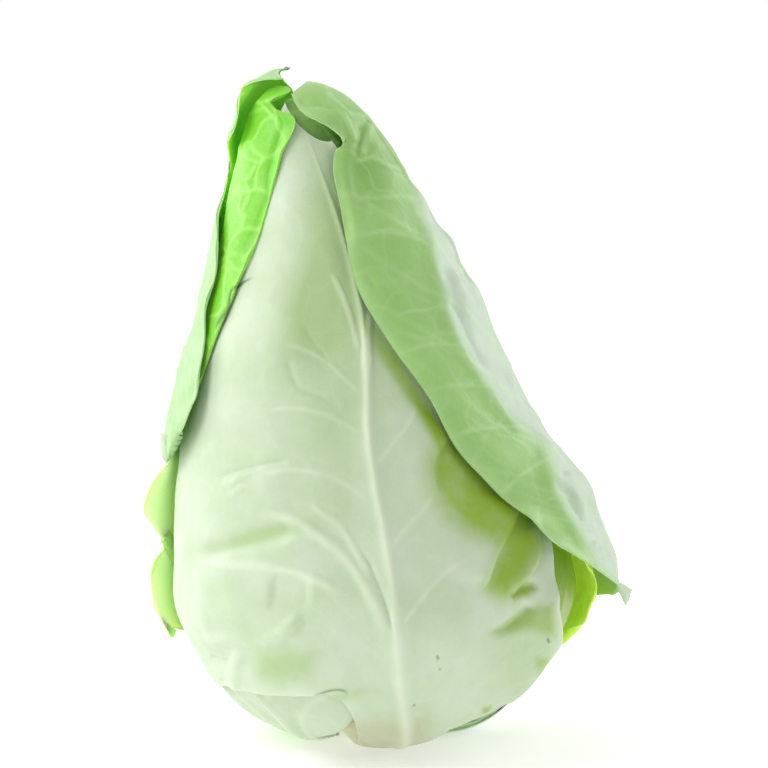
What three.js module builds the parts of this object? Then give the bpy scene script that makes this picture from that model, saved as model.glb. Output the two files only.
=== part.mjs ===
// A pointed cabbage head, standing on its cut stalk, in millimetres with +Z up.
// The origin is the middle of the cut face. The front of the head faces -Y.
//
// Every place on the head is given as on a globe: a longitude round the head
// (0 at the front, +90 on the +X side), a latitude (0 at the stalk, 180 at the
// tip) and a lift, the distance outward from the dense heart. A leaf is a thin
// solid drawn on that globe between its left edge, its midrib and its right edge.
import * as THREE from 'three';

// Driving dimensions
const HEART_RADIUS = 65;
const HEART_BASE = 10;
const HEART_HEIGHT = 209.5;
const BELLY_SPREAD = 1.09;
const TIP_SPREAD = 0.48;
const BELLY_POWER = 1.7;
const RISE_POWER = 1.1;
const BASE_TUCK = 0.07;
const TUCK_MIDDLE = 0.12;
const TUCK_REACH = 0.07;
const STALK_RADIUS = 11;
const STALK_CHAMFER = 0.8;
const BLADE_THICKNESS = 0.9;
const PETIOLE_HALF_WIDTH = 0.1;

// How far the middle of the head leans along X at each height: [height, lean]
const LEAN = [[0, -4], [25, -2.8], [60, -2], [118, -12.5], [151, -16.5], [185, -21], [205, -25], [235, -34]];

// Each leaf's lines are lists of [v, longitude, latitude, lift], with v from 0
// at the stalk to 1 at the leaf's tip. The trim says how far up from v = 0 the
// blade's lower edge lies at each u, where u runs from -1 at the left edge
// through 0 at the midrib to 1 at the right edge. The edge waves are how far the
// left and the right edge wave outward, and how many waves there are. Each
// fourth row of a blade is a side vein, and the crowding draws the rows together
// at the stalk.
const LEAVES = {
  under_leaf_right: {
    left: [[0, 20, 34, 1.4], [0.5, 10, 80, 1.4], [1, 20, 120, 1.4]],
    rib: [[0, 66, 11, 1.7], [0.2, 64, 30, 1.7], [0.35, 62, 52, 1.9], [0.5, 60, 78, 1.5], [1, 50, 125, 1.4]],
    right: [[0, 114, 32, 1.4], [0.2, 112, 46, 1.4], [0.5, 104, 80, 1.4], [1, 80, 120, 1.4]],
    trim: [[-1, 0], [-0.3, 0.06], [-0.12, 0.04], [0, 0], [0.12, 0.04], [0.3, 0.06], [1, 0]],
    edgeWaves: [0, 0.4, 5],
    ribThickness: 0.8,
    veinHeight: 0.3,
    petioleFlare: 12,
    crowding: 1,
    columns: 16,
    rows: 13,
    colour: 0xb9cf6a,
  },
  under_leaf_left: {
    left: [[0, -78, 34, 1.3], [0.5, -110, 80, 1.3], [1, -105, 120, 1.3]],
    rib: [[0, -42, 11, 3.6], [0.1, -42, 20, 5.4], [0.18, -44, 28, 2.4], [0.26, -47, 38, 1.5],
      [0.5, -56, 78, 1.3], [1, -66, 125, 1.3]],
    right: [[0, -10, 26, 1.3], [0.2, 2, 45, 1.3], [0.5, 0, 80, 1.3], [1, -25, 120, 1.3]],
    trim: [[-1, 0], [-0.3, 0.06], [-0.12, 0.04], [0, 0], [0.12, 0.04], [0.3, 0.08], [1, 0]],
    edgeWaves: [0, 0, 5],
    ribThickness: 0.5,
    veinHeight: 0.3,
    petioleFlare: 14,
    crowding: 1,
    columns: 14,
    rows: 16,
    colour: 0xc4d69a,
  },
  front_leaf: {
    left: [[0, -112, 33, 3.4], [0.2, -110, 46, 3.2], [0.4, -106, 66, 3.2], [0.6, -100, 90, 3.4],
      [0.8, -84, 118, 3.4], [1, -20, 164, 3.4]],
    rib: [[0, 17, 11, 4.6], [0.09, 14, 24, 5], [0.18, 10, 36, 5.4], [0.27, 7, 47, 5],
      [0.36, 5, 58, 4.4], [0.56, 6, 86, 4], [0.78, 13, 115, 3.6], [1, 2, 152, 3.4]],
    right: [[0, 96, 24, 3.2], [0.05, 86, 33, 3.4], [0.1, 74, 42, 4.2], [0.15, 65, 49, 5.2],
      [0.24, 57, 57, 6.4],
      [0.4, 56, 66, 6], [0.6, 60, 86, 4.6], [0.8, 55, 112, 4.2], [1, 24, 149, 4.2]],
    trim: [[-1, 0], [-0.8, 0.11], [-0.65, 0.18], [-0.5, 0.21], [-0.35, 0.23], [-0.24, 0.23],
      [-0.18, 0.2], [-0.12, 0.09], [-0.07, 0.01], [0, 0], [0.1, 0.01], [0.3, 0.08], [0.5, 0.12],
      [0.75, 0.07], [1, 0]],
    edgeWaves: [0, 1.2, 7],
    ribThickness: 2.6,
    veinHeight: 0.7,
    petioleFlare: 24,
    crowding: 1.1,
    columns: 28,
    rows: 34,
    colour: 0xd5e2c3,
  },
  back_leaf: {
    left: [[0, 106, 36, 3.6], [0.25, 106, 52, 3.6], [0.5, 110, 84, 3.6], [0.8, 125, 120, 3.6],
      [1, 150, 158, 3.4]],
    rib: [[0, 186, 11, 4.6], [0.2, 184, 34, 3.6], [0.5, 179, 78, 3.4], [0.8, 178, 120, 3.4],
      [1, 176, 162, 3.4]],
    right: [[0, 244, 36, 3], [0.25, 244, 52, 3], [0.5, 240, 84, 3.2], [0.8, 228, 120, 3.2],
      [1, 205, 158, 3.2]],
    trim: [[-1, 0], [-0.45, 0.14], [-0.3, 0.15], [-0.18, 0.1], [-0.08, 0.02], [0, 0], [0.08, 0.02],
      [0.18, 0.1], [0.3, 0.15], [0.45, 0.14], [1, 0]],
    edgeWaves: [0, 0, 7],
    ribThickness: 1.6,
    veinHeight: 0.6,
    petioleFlare: 14,
    crowding: 1,
    columns: 14,
    rows: 22,
    colour: 0xc9dba6,
  },
  left_leaf: {
    left: [[0, -168, 40, 5.6], [0.3, -170, 58, 5.6], [0.5, -170, 84, 5.4], [0.8, -162, 122, 5.2],
      [1, -110, 166, 5]],
    rib: [[0, -98, 11, 5.8], [0.08, -102, 20, 7], [0.2, -110, 36, 6.4], [0.5, -116, 78, 5.6],
      [0.8, -100, 122, 5.2], [1, -62, 172, 5]],
    right: [[0, -92, 49, 6], [0.1, -91, 53, 11], [0.2, -90, 59, 12.6], [0.28, -92, 64, 10.5],
      [0.33, -98, 68, 6.6], [0.4, -88, 73, 14.6], [0.47, -84, 79, 11.4], [0.53, -78, 84, 7.6],
      [0.6, -66, 93, 6], [0.68, -58, 106, 5.2], [0.76, -48, 118, 5], [0.84, -35, 132, 5],
      [0.89, -24, 144, 5], [0.94, -9, 157, 5], [0.96, -30, 160, 5], [0.975, -36, 164, 5],
      [0.985, -6, 168, 5], [1, -12, 172, 5]],
    trim: [[-1, 0.02], [-0.45, 0.2], [-0.3, 0.2], [-0.18, 0.13], [-0.08, 0.02], [0, 0], [0.08, 0.02],
      [0.18, 0.12], [0.3, 0.2], [0.45, 0.25], [0.6, 0.24], [0.8, 0.19], [0.9, 0.13], [1, 0.03]],
    edgeWaves: [0, 0.6, 9],
    ribThickness: 1.4,
    veinHeight: 0.6,
    petioleFlare: 14,
    crowding: 1,
    columns: 16,
    rows: 30,
    colour: 0xa6e25a,
  },
  right_leaf: {
    left: [[0, 100, 47, 6.4], [0.12, 92, 51, 7], [0.22, 86, 57, 8], [0.34, 78, 64, 8.2],
      [0.48, 66, 73, 7.2], [0.6, 66, 84, 6.6], [0.75, 74, 104, 5.8], [1, 84, 128, 5.6]],
    rib: [[0, 148, 11, 5], [0.08, 144, 20, 6.2], [0.2, 134, 36, 6.8], [0.5, 124, 72, 6.4],
      [0.8, 118, 110, 5.8], [1, 112, 132, 5.6]],
    right: [[0, 178, 42, 6.6], [0.25, 180, 56, 6.4], [0.5, 176, 80, 6.2], [0.8, 162, 112, 6],
      [1, 136, 128, 5.6]],
    trim: [[-1, 0], [-0.8, 0.15], [-0.45, 0.22], [-0.3, 0.21], [-0.18, 0.12], [-0.08, 0.02], [0, 0],
      [0.08, 0.02], [0.18, 0.12], [0.3, 0.18], [0.45, 0.16], [1, 0.02]],
    edgeWaves: [1.2, 0, 8],
    ribThickness: 1.5,
    veinHeight: 0.7,
    petioleFlare: 12,
    crowding: 1,
    columns: 14,
    rows: 22,
    colour: 0x8fb62e,
  },
  left_outer_leaf: {
    left: [[0, -172, 46, 8.2], [0.3, -174, 66, 8], [0.6, -178, 100, 7.6], [0.85, -182, 138, 7.4],
      [1, -176, 166, 7.4]],
    rib: [[0, -136, 11, 7], [0.06, -140, 18, 10.2], [0.12, -144, 28, 11], [0.2, -146, 42, 10.8],
      [0.45, -146, 82, 8.4], [0.8, -132, 130, 7.6], [1, -100, 181, 9.4]],
    right: [[0, -98, 87, 10.2], [0.1, -80, 88, 10], [0.2, -64, 89, 9.4], [0.32, -57, 95, 8.6],
      [0.45, -60, 104, 7.8], [0.55, -66, 112, 7.4], [0.66, -70, 124, 7.6], [0.71, -84, 129, 8],
      [0.76, -100, 134, 8], [0.81, -102, 141, 9], [0.85, -84, 146, 10], [0.88, -66, 150, 10.4],
      [0.92, -66, 159, 11], [0.945, -80, 165, 11], [0.97, -46, 169, 10.4], [1, -10, 170, 9.4]],
    trim: [[-1, 0.02], [-0.45, 0.18], [-0.3, 0.19], [-0.18, 0.12], [-0.08, 0.02], [0, 0], [0.08, 0.02],
      [0.18, 0.12], [0.3, 0.2], [0.5, 0.3], [0.65, 0.36], [0.8, 0.34], [0.92, 0.22], [1, 0.04]],
    edgeWaves: [0.8, 0.6, 8],
    ribThickness: 2,
    veinHeight: 0.8,
    petioleFlare: 14,
    crowding: 1,
    columns: 16,
    rows: 28,
    colour: 0x7fae4e,
  },
  hood_leaf: {
    left: [[0, 92, 59, 21], [0.04, 82, 60, 21], [0.09, 68, 63, 19], [0.14, 58, 67, 16.6],
      [0.19, 52, 71, 13.6], [0.25, 47, 76, 10.4], [0.33, 40, 82, 8], [0.4, 35, 87, 7.6], [0.5, 28, 99, 7.4],
      [0.6, 16, 111, 7.4], [0.68, 11, 120, 7.4], [0.76, 12, 131, 7.6], [0.82, 13, 140, 8],
      [0.86, 18, 144, 8.4], [0.9, 26, 147, 8.8], [0.94, 15, 152, 9], [0.97, 2, 157, 7.6], [1, -4, 165, 6]],
    rib: [[0, 106, 11, 6], [0.015, 120, 18, 10], [0.03, 130, 28, 12.4], [0.045, 136, 38, 12.8],
      [0.06, 138, 47, 13], [0.1, 136, 55, 15], [0.17, 128, 60, 16.4], [0.24, 118, 65, 15.8],
      [0.32, 110, 70, 15], [0.4, 102, 78, 14.6], [0.45, 100, 84, 11.8], [0.5, 98, 90, 9.8],
      [0.6, 93, 101, 9.6], [0.7, 88, 116, 8.8], [0.86, 72, 146, 8.6], [0.94, 68, 160, 9.2],
      [1, 66, 173, 6.6]],
    right: [[0, 196, 51, 12.4], [0.3, 198, 66, 11.4], [0.6, 196, 104, 10.2], [0.85, 184, 142, 10],
      [1, 150, 168, 7]],
    trim: [[-1, 0], [-0.92, 0.05], [-0.7, 0.075], [-0.45, 0.08], [-0.3, 0.08], [-0.18, 0.05], [-0.08, 0.01],
      [0, 0], [0.08, 0.01], [0.2, 0.05], [0.34, 0.08], [0.5, 0.09], [1, 0.03]],
    edgeWaves: [1, 1.4, 9],
    ribThickness: 2.4,
    veinHeight: 0.8,
    petioleFlare: 12,
    crowding: 1.5,
    columns: 24,
    rows: 40,
    colour: 0x8fc06a,
  },
};

// Heart and stalk
const HEART_COLOUR = 0xdfe6b0;
const HEART_COLUMNS = 22;
const HEART_ROWS = 20;
const HEART_LOWEST = 9.5;
const HEART_HIGHEST = 176;
const INNER_LEAF_STEP = 1.2;
const INNER_LEAVES_ROUND = 3;
const INNER_LEAF_TURNS = 2;

// How a blade's shape fades: the lift towards its edges, the edge waves inward
// from the edge, the petiole's flare and the midrib up the leaf
const LIFT_POWER = 3;
const WAVE_POWER = 6;
const FLARE_POWER = 10;
const RIB_POWER = 1.5;
const RIB_TAPER = 0.75;
const COLUMN_POWER = 1.5;
const ROWS_PER_VEIN = 4;
const VEIN_SWEEP = 0.3;
const ROUGHNESS = 0.55;

// A smooth curve through [knot, value, value, ...] rows, read at t
function smooth(knots, t) {
  const last = knots.length - 1;
  let i = 0;
  while (i < last - 1 && t > knots[i + 1][0]) {
    i += 1;
  }
  const span = knots[i + 1][0] - knots[i][0];
  const x = THREE.MathUtils.clamp((t - knots[i][0]) / span, 0, 1);
  const slope = (k, n) => (knots[k + 1][n] - knots[k][n]) / (knots[k + 1][0] - knots[k][0]);
  const tangent = (k, n) => {
    if (k === 0) {
      return slope(0, n);
    }
    if (k === last) {
      return slope(last - 1, n);
    }
    const before = knots[k][0] - knots[k - 1][0];
    const after = knots[k + 1][0] - knots[k][0];
    return (slope(k - 1, n) * after + slope(k, n) * before) / (before + after);
  };
  const values = [];
  for (let n = 1; n < knots[i].length; n += 1) {
    values.push(
      (2 * x ** 3 - 3 * x ** 2 + 1) * knots[i][n]
      + (x ** 3 - 2 * x ** 2 + x) * span * tangent(i, n)
      + (3 * x ** 2 - 2 * x ** 3) * knots[i + 1][n]
      + (x ** 3 - x ** 2) * span * tangent(i + 1, n),
    );
  }
  return values;
}

// The heart's radius and height at a latitude in radians
function heartProfile(latitude) {
  const rise = (1 - Math.cos(latitude)) / 2;
  const tuck = BASE_TUCK * Math.exp(-(((rise - TUCK_MIDDLE) / TUCK_REACH) ** 2));
  const spread = TIP_SPREAD + BELLY_SPREAD * Math.max(1 - rise, 0) ** BELLY_POWER - tuck;
  return [HEART_RADIUS * Math.sin(latitude) * spread, HEART_BASE + HEART_HEIGHT * rise ** RISE_POWER];
}

// A place on the head, from longitude and latitude in degrees and lift in millimetres
function onHead(longitude, latitude, lift) {
  const step = 1e-4;
  const around = THREE.MathUtils.degToRad(longitude);
  const up = THREE.MathUtils.degToRad(latitude);
  const [radius, height] = heartProfile(up);
  const [radiusAbove, heightAbove] = heartProfile(up + step);
  const [radiusBelow, heightBelow] = heartProfile(up - step);
  const outward = new THREE.Vector2(heightAbove - heightBelow, radiusBelow - radiusAbove).normalize();
  const reach = radius + lift * outward.x;
  const z = height + lift * outward.y;
  const [lean] = smooth(LEAN, z);
  return new THREE.Vector3(lean + reach * Math.sin(around), -reach * Math.cos(around), z);
}

// Longitude, latitude and lift of a leaf's inner face at u and v
function leafPlace(leaf, u, v) {
  const [trim] = smooth(leaf.trim, u);
  const along = trim + (1 - trim) * v;
  const left = smooth(leaf.left, along);
  const rib = smooth(leaf.rib, along);
  const right = smooth(leaf.right, along);
  const across = (n) => rib[n] + ((right[n] - left[n]) / 2) * u + ((left[n] + right[n]) / 2 - rib[n]) * u * u;
  const edge = u < 0 ? left : right;
  const [leftWave, rightWave, waves] = leaf.edgeWaves;
  const wave = (u < 0 ? leftWave : rightWave) * (1 + Math.sin(2 * Math.PI * waves * along)) / 2;
  const lift = rib[2] + (edge[2] - rib[2]) * Math.abs(u) ** LIFT_POWER + wave * Math.abs(u) ** WAVE_POWER;
  const petiole = u / PETIOLE_HALF_WIDTH;
  const flare = leaf.petioleFlare * petiole * Math.exp((1 - petiole ** 2) / 2) * (1 - along) ** FLARE_POWER;
  return [across(0) + flare, across(1), lift];
}

// Columns lie closer together at the midrib than at the edges
function columnPlace(leaf, column) {
  const share = (2 * column) / leaf.columns - 1;
  return Math.sign(share) * Math.abs(share) ** COLUMN_POWER;
}

// Rows sweep up from the midrib to both edges, as the side veins do
function rowPlace(leaf, row, u) {
  const v = (row / leaf.rows) ** leaf.crowding;
  return v + VEIN_SWEEP * v * (1 - v) * Math.abs(u);
}

// The blade's thickness, with the midrib and the side veins standing out of its outer face
function leafThickness(leaf, row, u, v) {
  const ribWidth = PETIOLE_HALF_WIDTH * (1 - RIB_TAPER * v);
  const rib = leaf.ribThickness * (1 - v) ** RIB_POWER * Math.exp(-((u / ribWidth) ** 2));
  const isVein = row > ROWS_PER_VEIN && row < leaf.rows && row % ROWS_PER_VEIN === 0;
  const vein = isVein ? leaf.veinHeight * (1 - Math.abs(u)) : 0;
  return BLADE_THICKNESS + rib + vein;
}

function leafGeometry(leaf) {
  const step = 1e-3;
  const inner = [];
  const outer = [];
  for (let row = 0; row <= leaf.rows; row += 1) {
    for (let column = 0; column <= leaf.columns; column += 1) {
      const u = columnPlace(leaf, column);
      const v = rowPlace(leaf, row, u);
      const point = onHead(...leafPlace(leaf, u, v));
      const across = onHead(...leafPlace(leaf, Math.min(u + step, 1), v))
        .sub(onHead(...leafPlace(leaf, Math.max(u - step, -1), v)));
      const along = onHead(...leafPlace(leaf, u, Math.min(v + step, 1)))
        .sub(onHead(...leafPlace(leaf, u, Math.max(v - step, 0))));
      const normal = across.cross(along).normalize();
      inner.push(point);
      outer.push(point.clone().addScaledVector(normal, leafThickness(leaf, row, u, v)));
    }
  }
  const width = leaf.columns + 1;
  const count = inner.length;
  const index = [];
  const quad = (a, b, c, d) => index.push(a, b, c, a, c, d);
  for (let row = 0; row < leaf.rows; row += 1) {
    for (let column = 0; column < leaf.columns; column += 1) {
      const a = row * width + column;
      quad(count + a, count + a + 1, count + a + 1 + width, count + a + width);
      index.push(a, a + 1 + width, a + 1, a, a + width, a + 1 + width);
    }
  }
  const top = leaf.rows * width;
  for (let column = 0; column < leaf.columns; column += 1) {
    quad(column, column + 1, count + column + 1, count + column);
    quad(top + column + 1, top + column, count + top + column, count + top + column + 1);
  }
  for (let row = 0; row < leaf.rows; row += 1) {
    const left = row * width;
    const right = left + leaf.columns;
    quad(left + width, left, count + left, count + left + width);
    quad(right, right + width, count + right + width, count + right);
  }
  return solidFrom([...inner, ...outer], index);
}

function solidFrom(points, index) {
  const geometry = new THREE.BufferGeometry();
  geometry.setFromPoints(points);
  geometry.setIndex(index);
  geometry.computeVertexNormals();
  return geometry;
}

// The dense heart of folded leaves, grown in one with its stalk. The edges of
// its own leaves show as low steps that wind up to the tip.
function heartGeometry() {
  const points = [new THREE.Vector3(0, 0, 0)];
  const ring = (place) => {
    for (let column = 0; column < HEART_COLUMNS; column += 1) {
      points.push(place((column / HEART_COLUMNS) * 360));
    }
  };
  const onStalk = (radius, z) => (longitude) => {
    const around = THREE.MathUtils.degToRad(longitude);
    return new THREE.Vector3(radius * Math.sin(around), -radius * Math.cos(around), z);
  };
  ring(onStalk(STALK_RADIUS - STALK_CHAMFER, 0));
  ring(onStalk(STALK_RADIUS, STALK_CHAMFER));
  for (let row = 0; row <= HEART_ROWS; row += 1) {
    const latitude = HEART_LOWEST + ((HEART_HIGHEST - HEART_LOWEST) * row) / HEART_ROWS;
    const fade = Math.sin((Math.PI * row) / HEART_ROWS);
    ring((longitude) => {
      const turn = (INNER_LEAVES_ROUND * longitude) / 360 + (INNER_LEAF_TURNS * latitude) / 180;
      return onHead(longitude, latitude, -INNER_LEAF_STEP * fade * (turn - Math.floor(turn)));
    });
  }
  points.push(onHead(0, 180, 0));
  const rings = HEART_ROWS + 3;
  const last = points.length - 1;
  const index = [];
  for (let column = 0; column < HEART_COLUMNS; column += 1) {
    const next = (column + 1) % HEART_COLUMNS;
    index.push(0, 1 + next, 1 + column);
    for (let level = 0; level < rings - 1; level += 1) {
      const low = 1 + level * HEART_COLUMNS;
      const high = low + HEART_COLUMNS;
      index.push(low + column, low + next, high + next, low + column, high + next, high + column);
    }
    const top = 1 + (rings - 1) * HEART_COLUMNS;
    index.push(top + column, top + next, last);
  }
  return solidFrom(points, index);
}

function meshOf(name, geometry, colour) {
  const material = new THREE.MeshStandardMaterial({ color: colour, roughness: ROUGHNESS, metalness: 0 });
  const mesh = new THREE.Mesh(geometry, material);
  mesh.name = name;
  return mesh;
}

const cabbage = new THREE.Group();
cabbage.add(meshOf('heart_with_stalk', heartGeometry(), HEART_COLOUR));
for (const [name, leaf] of Object.entries(LEAVES)) {
  cabbage.add(meshOf(name, leafGeometry(leaf), leaf.colour));
}

export default cabbage;
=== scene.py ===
"""A pointed cabbage head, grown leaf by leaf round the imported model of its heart, stalk and leaves."""
import math
from collections import namedtuple

import bpy
import numpy as np
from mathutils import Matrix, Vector, kdtree


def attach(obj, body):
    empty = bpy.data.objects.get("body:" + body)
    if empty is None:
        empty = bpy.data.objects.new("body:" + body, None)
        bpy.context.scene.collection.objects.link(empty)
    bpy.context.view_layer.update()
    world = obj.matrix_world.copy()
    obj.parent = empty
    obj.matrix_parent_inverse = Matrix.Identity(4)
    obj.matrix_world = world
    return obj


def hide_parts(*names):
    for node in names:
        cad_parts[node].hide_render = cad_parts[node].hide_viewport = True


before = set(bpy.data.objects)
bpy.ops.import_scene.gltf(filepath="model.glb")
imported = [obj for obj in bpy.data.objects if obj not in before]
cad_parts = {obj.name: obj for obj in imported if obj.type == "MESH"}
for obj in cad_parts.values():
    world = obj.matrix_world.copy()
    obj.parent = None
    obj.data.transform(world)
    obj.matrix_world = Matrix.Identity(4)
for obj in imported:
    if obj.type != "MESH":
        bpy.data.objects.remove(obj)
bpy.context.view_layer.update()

bl_info = {
    "name": "Pointed Cabbage Head",
    "version": (1, 0, 0),
    "blender": (4, 5, 0),
    "location": "3D View > Sidebar > Cabbage",
    "description": "Grows the leaves, heart and stalk of a pointed cabbage head",
    "category": "Object",
}

MM = 0.001
BODY = "root"

# The head's globe, in millimetres: a longitude round the head (0 at the front, +90 on the +X side), a
# latitude (0 at the stalk, 180 at the tip) and a lift outward from the dense heart. Its tuck draws the
# base in, and its lean moves it to the side, in rows of height and offset.
HEART_RADIUS = 65
HEART_BASE = 10
HEART_HEIGHT = 209.5
BELLY_SPREAD = 1.09
TIP_SPREAD = 0.48
BELLY_POWER = 1.7
RISE_POWER = 1.1
BASE_TUCK = 0.07
TUCK_MIDDLE = 0.12
TUCK_REACH = 0.07
STALK_RADIUS = 11
STALK_CHAMFER = 0.8
BLADE_THICKNESS = 0.9
PETIOLE_HALF_WIDTH = 0.1
LEAN = [[0, -4], [25, -2.8], [60, -2], [118, -12.5], [151, -16.5], [185, -21], [205, -25], [235, -34]]

# Relief on the blades, in millimetres: how deep a fold may press a blade inward, how high the swells and
# the bumps of the silvery side stand, and how far the leaves stay above the surface they stand on
DEEPEST_FOLD = 1.2
SWELL_HEIGHT = 0.5
SILVER_BUMPS = 0.9
FLOOR_GAP = 0.3
# The share of a leaf, from the stalk up, over which its relief grows in
FOOT = 0.12

# Random waves: how many are summed, and the wave length of each use, in millimetres. All leaves share
# one seed for their swells, so that neighbours swell together.
WAVE_COUNT = 14
SWELL_SEED = 3
SWELL_LENGTH = 46
FINE_SWELL_LENGTH = 21
CRINKLE_LENGTH = 20
FINE_CRINKLE_LENGTH = 9
CURL_LENGTH = 13
SILVER_LENGTH = 17
NET_WARP_LENGTH = 9

# Side veins: where on the midrib the lowest starts, the share of the midrib that carries them, where
# they fork, how strong a fork is, how they bend upward and how near to the edge they end
FIRST_VEIN = 0.06
VEINED_SHARE = 0.8
FORKS = (0.35, 0.62)
FORK_STRENGTH = 0.55
VEIN_BEND = 1.4
VEIN_END = 0.96

# The net, in millimetres: the half width of its threads, how far they wander, and the least distance
# between two cells as a share of the cell size, with how many places are tried for a cell
THREAD_WIDTH = 0.75
THREAD_WANDER = 1.2
CELL_SPACING = 0.75
CELL_TRIES = 9000

# The camera looks along +Y and a little down. The picture frame is 768 pixels wide.
CAMERA_AIM = np.array([0.35, 0, 123])
CAMERA_DISTANCE = 950
CAMERA_ELEVATION = math.radians(6)
CAMERA_UP = np.array([0, math.sin(CAMERA_ELEVATION), math.cos(CAMERA_ELEVATION)])
CAMERA_BACK = np.array([0, -math.cos(CAMERA_ELEVATION), math.sin(CAMERA_ELEVATION)])
PIXEL = 0.338
PICTURE_MIDDLE = 384
SENSOR_WIDTH = 36

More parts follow.
